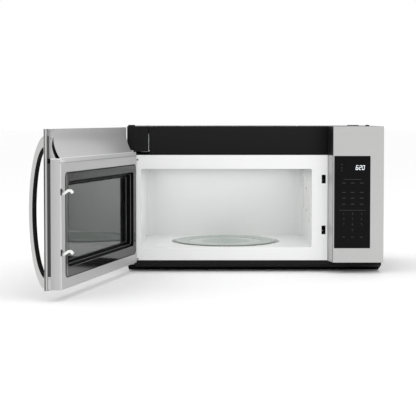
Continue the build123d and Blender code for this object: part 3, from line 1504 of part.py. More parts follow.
with BuildPart() as cooling_fan:
    # hub with twisted blades, each lofted from a steep root to a flatter tip
    fan_middle = fan_front + fan_tip_gap / 2 + fan_blade_depth / 2
    round_bar(Plane.XZ.offset(-fan_middle - fan_blade_depth / 2), (fan_x, fan_height), fan_hub_diameter,
              fan_blade_depth)
    round_bar(Plane.XZ.offset(-fan_middle - fan_blade_depth / 2), (fan_x, fan_height), flap_pin,
              -fan_motor_depth)
    root_chord = (fan_blade_depth - fan_blade_thickness) / cos(radians(fan_root_pitch))
    tip_chord = (fan_blade_depth - fan_blade_thickness) / cos(radians(fan_tip_pitch))
    for number in range(fan_blades):
        outwards = Vector(1, 0, 0).rotate(Axis.Y, 360 * number / fan_blades)
        centre = Vector(fan_x, fan_middle, fan_height)
        root = Plane(origin=centre + outwards * (fan_hub_diameter / 2 - fan_tip_gap), x_dir=(0, 1, 0),
                     z_dir=outwards)
        tip = Plane(origin=centre + outwards * (fan_bore_diameter / 2 - 2 * fan_tip_gap), x_dir=(0, 1, 0),
                    z_dir=outwards)
        with BuildSketch(root):
            Rectangle(root_chord, fan_blade_thickness, rotation=fan_root_pitch)
        with BuildSketch(tip):
            Rectangle(tip_chord, fan_blade_thickness / 2, rotation=fan_tip_pitch)
        loft(ruled=True)
cooling_fan.part.label = "cooling_fan"
export_step(cooling_fan.part, "parts/cooling_fan.step")

# ================================================================ vent blower and exhaust

scroll_radius = blower_radius + blower_tip_gap + blower_sheet
blower_y = exhaust_y - exhaust_width / 4
blower_z = roof_z + scroll_lift + scroll_radius
tongue = blower_radius / 4


def scroll(inset, top):
    # the scroll's outline in Y and Z: a round back, a wider front quarter, a straight outlet
    small = scroll_radius - inset
    large = scroll_radius + scroll_growth_width - inset
    edge = tongue + inset
    start = sqrt(small**2 - edge**2)
    half_angle = radians(135)
    with BuildSketch(Plane.YZ) as outline:
        with BuildLine():
            Line((blower_y + edge, top), (blower_y + edge, blower_z + start))
            ThreePointArc(
                (blower_y + edge, blower_z + start),
                (blower_y + small * cos(half_angle), blower_z + small * sin(half_angle)),
                (blower_y, blower_z - small),
            )
            ThreePointArc(
                (blower_y, blower_z - small),
                (blower_y + large * sin(half_angle),
                 blower_z + scroll_growth_width + large * cos(half_angle)),
                (blower_y + large, blower_z + scroll_growth_width),
            )
            Line((blower_y + large, blower_z + scroll_growth_width), (blower_y + large, top))
            Line((blower_y + large, top), (blower_y + edge, top))
        make_face()
    return outline.sketch


scroll_starts = (-blower_motor_length / 2 - blower_length, blower_motor_length / 2)
scroll_solid = scroll(0, collar_bottom)
scroll_hollow = scroll(blower_sheet, collar_bottom)

with BuildPart() as blower_housing:
    # two scrolls with round inlets at both ends, on feet on the oven's roof
    for start in scroll_starts:
        extrude(scroll_solid.moved(Location((start, 0, 0))), amount=blower_length)
        slab((start, start + blower_length), (blower_y - blower_radius / 2, blower_y + blower_radius / 2),
             (roof_z, blower_z - scroll_radius + blower_radius / 4))
    for start in scroll_starts:
        extrude(scroll_hollow.moved(Location((start + blower_sheet, 0, 0))),
                amount=blower_length - 2 * blower_sheet, mode=Mode.SUBTRACT)
        round_bar(Plane.YZ.offset(start), (blower_y, blower_z), blower_inlet_diameter, blower_length,
                  mode=Mode.SUBTRACT)
blower_housing.part.label = "blower_housing"
export_step(blower_housing.part, "parts/blower_housing.step")

with BuildPart() as blower_motor:
    half_motor = blower_motor_length / 2 - blower_tip_gap
    round_bar(Plane.YZ.offset(-half_motor), (blower_y, blower_z), blower_motor_diameter, 2 * half_motor)
    # saddle down to the oven's roof
    slab((-half_motor / 2, half_motor / 2),
         (blower_y - blower_motor_diameter / 2, blower_y + blower_motor_diameter / 2),
         (roof_z, blower_z - blower_motor_diameter / 4))
    round_bar(Plane.YZ.offset(-half_motor), (blower_y, blower_z), blower_shaft_bore, 2 * half_motor,
              mode=Mode.SUBTRACT)
blower_motor.part.label = "blower_motor"
export_step(blower_motor.part, "parts/blower_motor.step")

with BuildPart() as blower_rotor:
    # one shaft with a squirrel-cage wheel at each end
    wheel_length = blower_length - 2 * blower_sheet - 2 * blower_tip_gap
    round_bar(Plane.YZ.offset(scroll_starts[0]), (blower_y, blower_z), shaft_diameter,
              scroll_starts[1] + blower_length - scroll_starts[0])
    for start in scroll_starts:
        wheel_start = start + blower_sheet + blower_tip_gap
        with BuildSketch(Plane.YZ.offset(wheel_start)):
            with Locations((blower_y, blower_z)):
                blade_middle = blower_radius - blower_blade_depth / 2
                with PolarLocations(blade_middle, blower_blades):
                    Rectangle(blower_blade_depth, blower_blade_thickness,
                              rotation=blower_blade_angle)
        extrude(amount=wheel_length)
        for ring_start in (wheel_start, wheel_start + wheel_length - blower_sheet):
            with BuildSketch(Plane.YZ.offset(ring_start)):
                with Locations((blower_y, blower_z)):
                    Circle(blower_radius)
                    Circle(blower_radius - blower_blade_depth, mode=Mode.SUBTRACT)
            extrude(amount=blower_sheet)
        round_bar(Plane.YZ.offset(wheel_start + wheel_length / 2), (blower_y, blower_z),
                  2 * blower_radius - blower_blade_depth, blower_sheet)
blower_rotor.part.label = "blower_rotor"
export_step(blower_rotor.part, "parts/blower_rotor.step")

with BuildPart() as damper_flap:
    # flap pinned along its rear edge; it lifts when the blower runs
    half_flap = exhaust_length / 2 - flap_gap
    slab((-half_flap, half_flap), (exhaust_y - exhaust_width / 2 + flap_gap, pivot_y),
         (pivot_z - flap_thickness / 2, pivot_z + flap_thickness / 2))
    round_bar(Plane.YZ.offset(-half_flap), (pivot_y, pivot_z), flap_tube_diameter, 2 * half_flap)
    round_bar(Plane.YZ.offset(-exhaust_length / 2 - collar_sheet), (pivot_y, pivot_z), flap_pin,
              exhaust_length + 2 * collar_sheet)
damper_flap.part.label = "damper_flap"
export_step(damper_flap.part, "parts/damper_flap.step")

with BuildPart() as charcoal_filter:
    # upright filter cassette between the oven's roof and the band
    charcoal_y = front_y + band_ledge
    slab((-charcoal_length / 2, charcoal_length / 2), (charcoal_y, charcoal_y + charcoal_thickness),
         (roof_z, roof_z + charcoal_height))
    with BuildSketch(Plane.XZ.offset(-charcoal_y)):
        with Locations((0, roof_z + charcoal_height / 2)):
            with GridLocations(charcoal_length / 3, 0, 3, 1):
                Rectangle(charcoal_length / 3 - filter_border, charcoal_height - 2 * filter_border)
    extrude(amount=-charcoal_thickness / 4, mode=Mode.SUBTRACT)
charcoal_filter.part.label = "charcoal_filter"
export_step(charcoal_filter.part, "parts/charcoal_filter.step")

with BuildPart() as cord_bushing:
    # insulating sleeve in the cord's hole, flanged above the case
    bushing_place = (right_x - cord_hole_inset, wall_y - cord_hole_back)
    bushing_diameter = cord_hole_diameter + 2 * gland_wall
    round_bar(Plane.XY.offset(case_height), bushing_place, bushing_diameter, -gland_length)
    round_bar(Plane.XY.offset(case_height), bushing_place, bushing_diameter + 2 * gland_wall,
              gland_flange)
    round_bar(Plane.XY.offset(case_height - gland_length), bushing_place, cord_hole_diameter,
              gland_length + gland_flange, mode=Mode.SUBTRACT)
cord_bushing.part.label = "cord_bushing"
export_step(cord_bushing.part, "parts/cord_bushing.step")

with BuildPart() as case_clips:
    # two small black clips on top, behind the front edge
    slab((left_x + case_bend_radius, left_x + case_bend_radius + wide_clip_length),
         (case_front, case_front + clip_width), (case_height, case_height + clip_height))
    slab((right_x - clip_inset, right_x - clip_inset + narrow_clip_length),
         (case_front, case_front + clip_width), (case_height, case_height + clip_height))
case_clips.part.label = "case_clips"
export_step(case_clips.part, "parts/case_clips.step")
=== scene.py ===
import json
from math import atan, cos, pi, radians, sin

import bmesh
import bpy
from mathutils import Matrix, Vector


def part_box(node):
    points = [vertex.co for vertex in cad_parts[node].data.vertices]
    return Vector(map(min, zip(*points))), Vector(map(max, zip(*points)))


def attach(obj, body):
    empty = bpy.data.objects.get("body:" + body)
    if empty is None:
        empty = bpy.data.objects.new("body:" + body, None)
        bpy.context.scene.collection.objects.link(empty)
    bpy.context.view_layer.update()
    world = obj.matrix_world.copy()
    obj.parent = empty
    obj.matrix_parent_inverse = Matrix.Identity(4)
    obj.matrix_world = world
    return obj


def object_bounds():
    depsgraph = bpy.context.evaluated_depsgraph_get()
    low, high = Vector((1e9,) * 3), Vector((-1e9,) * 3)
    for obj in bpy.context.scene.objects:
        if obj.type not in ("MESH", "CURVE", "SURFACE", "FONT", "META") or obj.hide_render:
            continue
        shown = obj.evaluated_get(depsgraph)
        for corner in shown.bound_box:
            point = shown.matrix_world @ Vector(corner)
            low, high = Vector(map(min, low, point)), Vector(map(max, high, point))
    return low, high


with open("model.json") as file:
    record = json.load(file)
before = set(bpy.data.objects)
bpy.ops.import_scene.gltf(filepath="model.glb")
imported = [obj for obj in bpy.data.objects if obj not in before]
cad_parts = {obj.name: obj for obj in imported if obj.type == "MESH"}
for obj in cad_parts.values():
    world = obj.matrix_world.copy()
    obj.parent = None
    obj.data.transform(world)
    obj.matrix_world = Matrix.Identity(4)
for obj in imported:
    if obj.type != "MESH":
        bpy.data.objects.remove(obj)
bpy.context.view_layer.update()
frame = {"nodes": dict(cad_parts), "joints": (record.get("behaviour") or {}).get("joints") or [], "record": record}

nodes = frame["nodes"]
joints = {joint["name"]: joint for joint in frame["joints"]}
mm = 0.001
finishes = {}  # every material that Finish makes, by name
hinge = Vector(joints["door_hinge"]["pos_m"])
doorOpen = radians(joints["door_hinge"]["range_deg"][1])
doorSkinDepth = 27.0 * mm  # hinge axis to the door's outer face
print("frame loaded:", len(nodes), "nodes")


class Wire:  # one output of a material's nodes, usable in sums
    def __init__(self, finish, socket):
        self.finish = finish
        self.socket = socket

    def math(self, operation, *others):
        return self.finish.math(operation, self, *others)

    def __add__(self, other):
        return self.math("ADD", other)

    def __radd__(self, other):
        return self.math("ADD", other)

    def __sub__(self, other):
        return self.math("SUBTRACT", other)

    def __rsub__(self, other):
        return self.finish.math("SUBTRACT", other, self)

    def __mul__(self, other):
        return self.math("MULTIPLY", other)

    def __rmul__(self, other):
        return self.math("MULTIPLY", other)

    def __truediv__(self, other):
        return self.math("DIVIDE", other)

    def __rtruediv__(self, other):
        return self.finish.math("DIVIDE", other, self)

    def __pow__(self, other):
        return self.math("POWER", other)

    def __rpow__(self, other):
        return self.finish.math("POWER", other, self)

    def __gt__(self, other):
        return self.math("GREATER_THAN", other)

    def __lt__(self, other):  # also what 1 > mask asks for
        return self.math("LESS_THAN", other)

    def clamped(self):
        return self.math("MINIMUM", 1.0).math("MAXIMUM", 0.0)


class Finish:  # one material and the nodes that make it
    def __init__(self, name):
        material = bpy.data.materials.new(name)
        material.use_nodes = True
        finishes[name] = material
        self.tree = material.node_tree
        self.shader = self.tree.nodes["Principled BSDF"]
        self.place = self.node("ShaderNodeTexCoord", output="Object")

    def node(self, kind, settings=None, values=None, output=0):
        made = self.tree.nodes.new(kind)
        for key, value in (settings or {}).items():
            if key == "stops":
                self.setStops(made.color_ramp, value)
            else:
                setattr(made, key, value)
        for key, value in (values or {}).items():
            self.plug(made.inputs[key], value)
        return Wire(self, made.outputs[output])

    def setStops(self, ramp, stops):
        while len(ramp.elements) < len(stops):
            ramp.elements.new(0.5)
        for element, (position, level) in zip(ramp.elements, stops):
            element.position = position
            element.color = (level, level, level, 1.0)

    def plug(self, socket, value):
        if isinstance(value, Wire):
            self.tree.links.new(value.socket, socket)
        else:
            socket.default_value = value

    def math(self, operation, *values):
        return self.node("ShaderNodeMath", {"operation": operation}, dict(enumerate(values)))

    def noise(self, scale, place=None, detail=2.0, roughness=0.5):
        values = {"Vector": place or self.place, "Scale": scale, "Detail": detail,
                  "Roughness": roughness}
        return self.node("ShaderNodeTexNoise", None, values, "Fac")

    def stretched(self, scales, place=None):
        settings = {"operation": "MULTIPLY"}
        return self.node("ShaderNodeVectorMath", settings, {0: place or self.place, 1: scales})

    def turned(self, angle):  # object coordinates turned about the door's hinge
        values = {"Vector": self.place, "Center": tuple(hinge), "Angle": angle}
        return self.node("ShaderNodeVectorRotate", {"rotation_type": "Z_AXIS"}, values)

    def axis(self, name, place=None):
        return self.node("ShaderNodeSeparateXYZ", None, {0: place or self.place}, name)

    def inDoor(self):  # along the door from its hinge, inwards from its outer face, and up
        shut = self.turned(doorOpen)
        along = self.axis("X", shut) - hinge.x
        depth = self.axis("Y", shut) - (hinge.y - doorSkinDepth)
        return along, depth, self.axis("Z", shut)

    def above(self, value, edge, soft):  # 0 below an edge and 1 above it, turning over soft
        return ((value - edge) / soft + 0.5).clamped()

    def below(self, value, edge, soft):
        return ((edge - value) / soft + 0.5).clamped()

    def band(self, value, low, high, soft):  # 1 between two edges
        return self.above(value, low, soft) * self.below(value, high, soft)

    def reach(self, value, start, end):  # 0 at the start and 1 at the end, even between
        return ((value - start) / (end - start)).clamped()

    def varied(self, mask, least, more):  # a number that a mask raises from its least
        return least + mask * more

    def fromFrame(self, across, up, window):  # distance outside a rounded window's edge
        left, low, wide, tall, corner = window
        sides = []
        for value, start, size in ((across, left, wide), (up, low, tall)):
            sides.append((value - (start + size / 2)).math("ABSOLUTE") - (size / 2 - corner))
        first, second = sides
        outside = (first.math("MAXIMUM", 0.0) ** 2 + second.math("MAXIMUM", 0.0) ** 2) ** 0.5
        return outside + first.math("MAXIMUM", second).math("MINIMUM", 0.0) - corner

    def ramp(self, factor, *stops):
        return self.node("ShaderNodeValToRGB", {"stops": stops}, {"Fac": factor})

    def mix(self, factor, first, second):
        values = {0: factor, 6: colour(first), 7: colour(second)}
        return self.node("ShaderNodeMix", {"data_type": "RGBA"}, values, 2)

    def bump(self, height, strength, distance):
        values = {"Height": height, "Strength": strength, "Distance": distance}
        return self.node("ShaderNodeBump", None, values)

    def surface(self, **sockets):
        for name, value in sockets.items():
            words = name.replace("_", " ")
            if words.endswith("Color"):
                value = colour(value)
            self.plug(self.shader.inputs[words], value)

    def paintShade(self, factor, tone):  # painted shade: the surface turns to a dull dark tone where factor is 1
        dull = self.node("ShaderNodeBsdfPrincipled", None, {
            "Base Color": colour(tone), "Roughness": 0.6, "Specular IOR Level": 0.05})
        usual = Wire(self, self.shader.outputs[0])
        both = self.node("ShaderNodeMixShader", None, {0: factor, 1: usual, 2: dull})
        self.plug(self.tree.nodes["Material Output"].inputs["Surface"], both)


def colour(value):
    if isinstance(value, Wire):
        return value
    if isinstance(value, (int, float)):
        value = (value, value, value)
    return tuple(value) + (1.0,)


def dimmed(tone, level):
    return tuple(level * part for part in tone)


# In the finishes' dictionaries, rough is the least roughness and how much is added, bump its
# strength and depth, and places are in metres: an edge, or two, and how softly the tone turns.

# brushed sheet steel of the fascia, the door's skin and the handle
steel = {
    "tone": (0.57, 0.57, 0.566),
    "darkest": 0.88,  # of the tone, in the brushing's dark lines
    "rough": (0.29, 0.6),
    "metal": 0.86,
    "grainAcross": 2600.0,
    "grainAlong": 14.0,
    "streaks": (3.0, 60.0, 60.0),
    "clouds": 4.0,
    "levels": (0.06, 0.05, 0.06),  # share of the grain, the streaks and the clouds
    "contrast": 5.0,
    "bump": (0.12, 0.00002),
}
# painted shade on the skin's folded free edge: along the door, inwards from its outer face, and up
fold = {"end": (0.586, 0.002), "bend": (0.0014, 0.0042, 0.0014), "bendShade": 0.80,
        "foot": (0.0072, 0.0100, 0.0012), "footShade": 0.35, "coverTop": (0.3575, 0.002),
        "besideCoverShade": 0.19, "tone": 0.02}


def steelTone(finish, level, contrast):
    return finish.mix((level * contrast).clamped(), dimmed(steel["tone"], steel["darkest"]),
                      steel["tone"])


def foldShade(finish):
    # painted shade: a dark bend, deeper beside the inner cover, then a bright narrow return, with lighter painted
    # shade at its foot
    look = fold
    along, depth, height = finish.inDoor()
    beside = finish.below(height, *look["coverTop"]) * look["besideCoverShade"]
    bend = finish.band(depth, *look["bend"]) * (look["bendShade"] + beside)
    foot = finish.band(depth, *look["foot"]) * look["footShade"]
    return finish.above(along, *look["end"]) * (bend + foot)


def brushedSteel(name, angle=0.0):
    look = steel
    finish = Finish(name)
    place = finish.turned(angle)
    across = look["grainAcross"]
    scales = (look["grainAlong"], across, across)
    fine = finish.noise(1.0, finish.stretched(scales, place), detail=3.0, roughness=0.6)
    broad = finish.noise(1.0, finish.stretched(look["streaks"], place))
    cloud = finish.noise(look["clouds"], place, detail=3.0)
    shares = look["levels"]
    level = fine * shares[0] + broad * shares[1] + cloud * shares[2]
    tone = steelTone(finish, level, look["contrast"])
    # the door's skin gets painted shade along its folded free edge
    if angle:
        tone = finish.mix(foldShade(finish), tone, fold["tone"])
    finish.surface(
        Base_Color=tone,
        Roughness=finish.varied(level, *look["rough"]),
        Metallic=look["metal"],
        Normal=finish.bump(fine, *look["bump"]),
    )


# facing: how far a face turns to the door where the painted shade's dark coat starts, and where it is full
handle = {"facing": (0.62, 0.67), "shadeCoat": 0.006, "shadeCoatRough": 0.15, "contrast": 7.0}


def handleSteel():
    # the bowed handle: brushed outside, with painted shade, a dark coat, on the face that the fingers close round
    look = handle
    finish = Finish("handleSteel")
    across = steel["grainAcross"]
    scales = (across, across, steel["grainAlong"])
    fine = finish.noise(1.0, finish.stretched(scales), detail=3.0, roughness=0.6)
    cloud = finish.noise(steel["clouds"], detail=3.0)
    facing = finish.node("ShaderNodeTexCoord", output="Normal")
    inwards = (cos(doorOpen - pi / 2), -sin(doorOpen - pi / 2), 0.0)
    settings = {"operation": "DOT_PRODUCT"}
    toDoor = finish.node("ShaderNodeVectorMath", settings, {0: facing, 1: inwards}, "Value")
    shadeCoat = finish.reach(toDoor, *look["facing"])
    level = fine * steel["levels"][0] + cloud * steel["levels"][2]
    finish.surface(
        Base_Color=finish.mix(shadeCoat, steelTone(finish, level, look["contrast"]), look["shadeCoat"]),
        Roughness=finish.varied(level, *steel["rough"]) + shadeCoat * look["shadeCoatRough"],
        Metallic=steel["metal"] * (1.0 - shadeCoat),
        Normal=finish.bump(fine, *steel["bump"]),
    )


zinc = {"tones": ((0.46, 0.47, 0.48), (0.60, 0.61, 0.61)), "clouds": 90.0, "grain": 900.0,
        "rough": (0.28, 0.16), "metal": 0.95, "bump": (0.10, 0.00003)}


def zincSteel():
    look = zinc
    finish = Finish("zincSteel")
    cloud = finish.noise(look["clouds"], detail=4.0, roughness=0.6)
    fine = finish.noise(look["grain"])
    finish.surface(
        Base_Color=finish.mix(cloud, *look["tones"]),
        Roughness=finish.varied(fine, *look["rough"]),
        Metallic=look["metal"],
        Normal=finish.bump(fine, *look["bump"]),
    )


spangled = {"tones": ((0.40, 0.41, 0.42), (0.58, 0.59, 0.60)), "spangles": 120.0, "grain": 500.0,
            "rough": (0.34, 0.16), "grainRough": 0.06, "metal": 0.85, "bump": (0.08, 0.00003)}


def galvanised():
    # zinc-coated sheet: each spangle has its own tone and gloss
    look = spangled
    finish = Finish("galvanised")
    settings = {"feature": "F1", "voronoi_dimensions": "3D"}
    values = {"Vector": finish.place, "Scale": look["spangles"]}
    spangle = finish.axis("X", finish.node("ShaderNodeTexVoronoi", settings, values, "Color"))
    fine = finish.noise(look["grain"], detail=3.0)
    finish.surface(
        Base_Color=finish.mix(spangle, *look["tones"]),
        Roughness=finish.varied(spangle, *look["rough"]) + fine * look["grainRough"],
        Metallic=look["metal"],
        Normal=finish.bump(spangle * 0.6 + fine * 0.4, *look["bump"]),
    )


filterMesh = {"pitch": 0.0021, "tones": ((0.16, 0.165, 0.17), (0.68, 0.69, 0.70)),
              "rough": (0.30, 0.15), "clouds": 60.0, "metal": 0.9, "bump": (0.55, 0.0004),
              "wire": ((0.45, 0.0), (0.85, 1.0))}


def aluminiumMesh():
    # grease filters: crossed wires, with the gaps dark between them
    look = filterMesh
    finish = Finish("aluminiumMesh")
    lines = [(finish.axis(name) / look["pitch"]).math("FRACT") for name in "XY"]
    waves = [line.math("PINGPONG", 0.5) * 2.0 for line in lines]
    rise = finish.ramp(waves[0].math("MAXIMUM", waves[1]), *look["wire"])
    cloud = finish.noise(look["clouds"], detail=3.0)
    finish.surface(
        Base_Color=finish.mix(rise, *look["tones"]),
        Roughness=finish.varied(cloud, *look["rough"]),
        Metallic=look["metal"],
        Normal=finish.bump(rise, *look["bump"]),
    )


cast = {"tones": ((0.48, 0.49, 0.50), (0.62, 0.63, 0.64)), "clouds": 120.0,
        "rough": (0.36, 0.16), "metal": 0.9, "bump": (0.2, 0.0001)}


def castAluminium():
    look = cast
    finish = Finish("castAluminium")
    cloud = finish.noise(look["clouds"], detail=4.0, roughness=0.6)
    finish.surface(
        Base_Color=finish.mix(cloud, *look["tones"]),
        Roughness=finish.varied(cloud, *look["rough"]),
        Metallic=look["metal"],
        Normal=finish.bump(cloud, *look["bump"]),
    )


brushedSteel("stainless")
brushedSteel("stainlessDoor", doorOpen)
handleSteel()
zincSteel()
galvanised()
aluminiumMesh()
castAluminium()

# enamel, paint and mouldings: darkest and lightest tone, least and most roughness, and the
# scale and strength of the fine orange peel or moulded grain
coats = {
    "blackEnamel": ((0.0085, 0.0085, 0.009), (0.012, 0.012, 0.0125), 0.34, 0.44, 900.0, 0.25),
    "blackPlastic": ((0.0065, 0.0065, 0.007), (0.0095, 0.0095, 0.01), 0.40, 0.52, 1800.0, 0.22),
    "coreBlack": ((0.046, 0.046, 0.047), (0.058, 0.058, 0.059), 0.42, 0.54, 1800.0, 0.22),
    "whiteEnamel": ((0.89, 0.895, 0.895), (0.92, 0.925, 0.92), 0.16, 0.22, 420.0, 0.06),
    "cavityEnamel": ((0.77, 0.775, 0.775), (0.81, 0.815, 0.81), 0.20, 0.30, 520.0, 0.10),
    "greyPlastic": ((0.40, 0.41, 0.41), (0.44, 0.45, 0.45), 0.26, 0.34, 1500.0, 0.14),
    "lightGreyPlastic": ((0.50, 0.505, 0.505), (0.54, 0.545, 0.545), 0.28, 0.36, 1400.0, 0.14),
    "whitePlastic": ((0.84, 0.84, 0.83), (0.88, 0.88, 0.87), 0.24, 0.32, 1200.0, 0.10),
    "mica": ((0.72, 0.72, 0.71), (0.76, 0.76, 0.75), 0.34, 0.44, 300.0, 0.06),
    "rubber": ((0.008, 0.008, 0.008), (0.012, 0.012, 0.012), 0.62, 0.74, 2200.0, 0.35),
    "lamination": ((0.05, 0.048, 0.046), (0.09, 0.085, 0.08), 0.40, 0.55, 700.0, 0.3),
    "filterMedia": ((0.012, 0.012, 0.013), (0.030, 0.030, 0.032), 0.7, 0.85, 420.0, 0.9),
    "circuitBoard": ((0.02, 0.10, 0.045), (0.03, 0.14, 0.06), 0.30, 0.42, 260.0, 0.2),
}
coatGrain = {"clouds": 7.0, "depth": 0.00006, "rough": 0.05}
coatSockets = {  # other sockets of a coat's shader
    "blackEnamel": {"Specular_IOR_Level": 0.14}, "blackPlastic": {"Specular_IOR_Level": 0.12},
    "coreBlack": {"Specular_IOR_Level": 0.2}, "rubber": {"Specular_IOR_Level": 0.25},
    "whitePlastic": {"Subsurface_Weight": 0.04}, "lamination": {"Metallic": 0.3},
}


def coated(name, dark, light, smooth, rough, grain, grit):
    finish = Finish(name)
    fine = finish.noise(grain)
    cloud = finish.noise(coatGrain["clouds"], detail=3.0, roughness=0.55)
    even = finish.varied(cloud, smooth, rough - smooth)
    finish.surface(
        Base_Color=finish.mix(cloud, dark, light),
        Roughness=even + (fine - 0.5) * coatGrain["rough"],
        Normal=finish.bump(fine, grit, coatGrain["depth"]),
        **coatSockets.get(name, {}),
    )


for name, look in coats.items():
    coated(name, *look)

housing = {
    "blackAbove": 0.3493,
    "black": 0.0085,
    "tones": (0.26, 0.50),
    "foot": -0.1870,
    "front": -0.2280,
    # painted shade from the foot to the front: how far along, how light
    "shade": ((0.0, 0.15), (0.06, 0.42), (0.40, 0.80), (0.90, 1.0), (1.0, 0.45)),
    "slots": (0.118, 0.270),  # heights of the latch slots, with a darker patch beside each
    "patchHalf": 0.014,
    "patchSoft": 0.010,
    "patch": (-0.2000, -0.1880, 0.004),
    "patchDark": 0.35,
    "clouds": (0.93, 0.12),
    "rough": (0.20, 0.06),
    "upperRough": 0.22,
    "specular": 0.35,
    "bump": (0.10, 0.00005),
}


def housingGrey():
    # glossy moulding beside the oven mouth: black above the white front, grey below with painted shade, deepest at
    # its foot and darker again at its front edge
    look = housing
    finish = Finish("housingGrey")
    fine = finish.noise(1500.0)
    cloud = finish.noise(30.0, finish.stretched((1.0, 1.0, 0.2)), detail=3.0)
    along = finish.axis("Y")
    height = finish.axis("Z")
    half = look["patchHalf"]
    patches = 0.0
    for slot in look["slots"]:
        patches = finish.band(height, slot - half, slot + half, look["patchSoft"]) + patches
    patches = patches * finish.band(along, *look["patch"])
    shade = finish.ramp(finish.reach(along, look["foot"], look["front"]), *look["shade"])
    shade = shade * (1.0 - patches * look["patchDark"]) * finish.varied(cloud, *look["clouds"])
    upper = height > look["blackAbove"]
    finish.surface(
        Base_Color=finish.mix(upper, finish.mix(shade, *look["tones"]), look["black"]),
        Roughness=finish.varied(cloud, *look["rough"]) + upper * look["upperRough"],
        Specular_IOR_Level=look["specular"],
        Normal=finish.bump(fine, *look["bump"]),
    )


cover = {
    "wall": (0.0160, 0.0410),  # depths of the free end's wall, across which painted shade lightens
    "wallTones": (0.40, 0.50),
    "face": (0.0426, 0.0006),
    "faceTone": 0.42,
    "corner": (0.0408, 0.0426, 0.0008),  # painted highlight on the rounded corner between them
    "cornerAlong": (0.560, 0.020),
    "cornerHighlightTone": 0.66,
    "crownAlong": (0.572, 0.004),  # painted highlight along the top of the free end's wall
    "crownDepth": (0.0408, 0.0008),
    "crownHeight": (0.3568, 0.0006),
    "crownHighlightTone": 0.90,
    "inside": (0.0380, 0.0010),  # seam and groove are drawn from this depth on
    "seamShade": (0.3472, 0.3485, 0.0008),  # painted shade in a fine line along the seam under the lip
    "seamShadeTone": 0.20,
    "groove": (0.0012, 0.0566, 0.5575, 0.2668, 0.0140),  # painted shade in the groove round the window: left, foot, length, height, corner
    "grooveSoft": 0.0008,
    "slotFeet": (0.1150, 0.2670),  # painted shade as black openings beside the hooks, drawn wider than the real ones
    "slotTall": 0.0165,
    "slotSoft": 0.0008,
    "slotAlong": (0.5775, 0.0004),
    "slotDepth": (0.0405, 0.0005),
    # tone of the painted shade in the groove and the openings
    "dark": 0.045,
    "rough": (0.27, 0.08),
    "bump": (0.12, 0.00005),
}


def coverGrey():
    # moulded inner cover of the door, with painted light: shade across the end wall, highlights on its corner and
    # top, and shade in the seam, the groove and the openings
    look = cover
    finish = Finish("coverGrey")
    fine = finish.noise(1400.0)
    cloud = finish.noise(9.0, detail=3.0)
    along, depth, height = finish.inDoor()
    # painted shade across the end wall, lighter towards the face
    wall = finish.mix(finish.reach(depth, *look["wall"]), *look["wallTones"])
    grey = finish.mix(finish.above(depth, *look["face"]), wall, look["faceTone"])
    corner = finish.band(depth, *look["corner"]) * finish.above(along, *look["cornerAlong"])
    grey = finish.mix(corner, grey, look["cornerHighlightTone"])
    crownHighlight = finish.above(height, *look["crownHeight"]) * finish.above(along, *look["crownAlong"])
    crownHighlight = crownHighlight * finish.below(depth, *look["crownDepth"])
    grey = finish.mix(crownHighlight, grey, look["crownHighlightTone"])
    inside = finish.above(depth, *look["inside"])
    seamShade = finish.band(height, *look["seamShade"]) * inside
    finish.surface(
        Base_Color=finish.mix(seamShade, grey, look["seamShadeTone"]),
        Roughness=finish.varied(cloud, *look["rough"]),
        Normal=finish.bump(fine, *look["bump"]),
    )
    # painted shade in the groove round the window and in the openings beside the hooks
    outside = finish.fromFrame(along, height, look["groove"])
    groove = finish.below(outside, 0.0, look["grooveSoft"]) * inside
    slots = 0.0
    for foot in look["slotFeet"]:
        slots = finish.band(height, foot, foot + look["slotTall"], look["slotSoft"]) + slots
    slots = slots * finish.above(along, *look["slotAlong"])
    slots = slots * finish.above(depth, *look["slotDepth"])
    finish.paintShade((groove + slots).clamped(), look["dark"])


trim = {
    "ledges": (0.0426, 0.0350, 0.0233),  # faces of the border and of the two ledges behind it
    "edge": (0.0008, 0.00005),  # where the painted highlight on a ledge's eased edge starts and ends, behind its face
    "edgeSoft": 0.0001,
    "edgeHighlightTone": 0.16,
    "tones": (0.008, 0.012),
    "upright": (0.5430, 0.5485, 0.0008),  # painted highlight on the border's strip at the free end
    "uprightFace": (0.0424, 0.0002),
    # painted shade in the recess behind the border: where it starts, its share and its tone
    "recess": (0.0420, 0.0002),
    "recessShade": 0.95,
    "recessShadeTone": 0.0035,
    "rough": (0.05, 0.05),
    "bump": (0.02, 0.00006),
}


def trimBlack():
    # glossy window trim: a painted highlight in a thin line on each ledge's eased edge, and painted shade in the
    # recess behind the border
    look = trim
    finish = Finish("trimBlack")
    cloud = finish.noise(coatGrain["clouds"], detail=3.0, roughness=0.55)
    along, depth, height = finish.inDoor()
    start, end = look["edge"]
    upright = finish.band(along, *look["upright"])
    edges = upright * finish.above(depth, *look["uprightFace"])
    for ledge in look["ledges"]:
        edges = edges + finish.band(depth, ledge - start, ledge - end, look["edgeSoft"])
    edges = edges.clamped()
    finish.surface(
        Base_Color=finish.mix(edges, finish.mix(cloud, *look["tones"]), look["edgeHighlightTone"]),
        Roughness=finish.varied(cloud, *look["rough"]),
        Normal=finish.bump(cloud, *look["bump"]),
    )
    # painted shade in the recess, kept off the painted highlights
    behind = finish.below(depth, *look["recess"]) * look["recessShade"]
    finish.paintShade(behind * (1.0 - edges), look["recessShadeTone"])


# painted light: the plate lightens towards the free end, with a painted highlight along the lip
scoop = {"paintedLightSpan": (0.02, 0.58), "tones": (0.30, 0.47), "levels": (0.92, 0.08),
         "streaks": (260.0, 260.0, 3.0), "lip": (0.3585, 0.3598, 0.0006), "lipHighlightTone": 0.72,
         "rough": (0.26, 0.06), "bump": (0.10, 0.00005)}


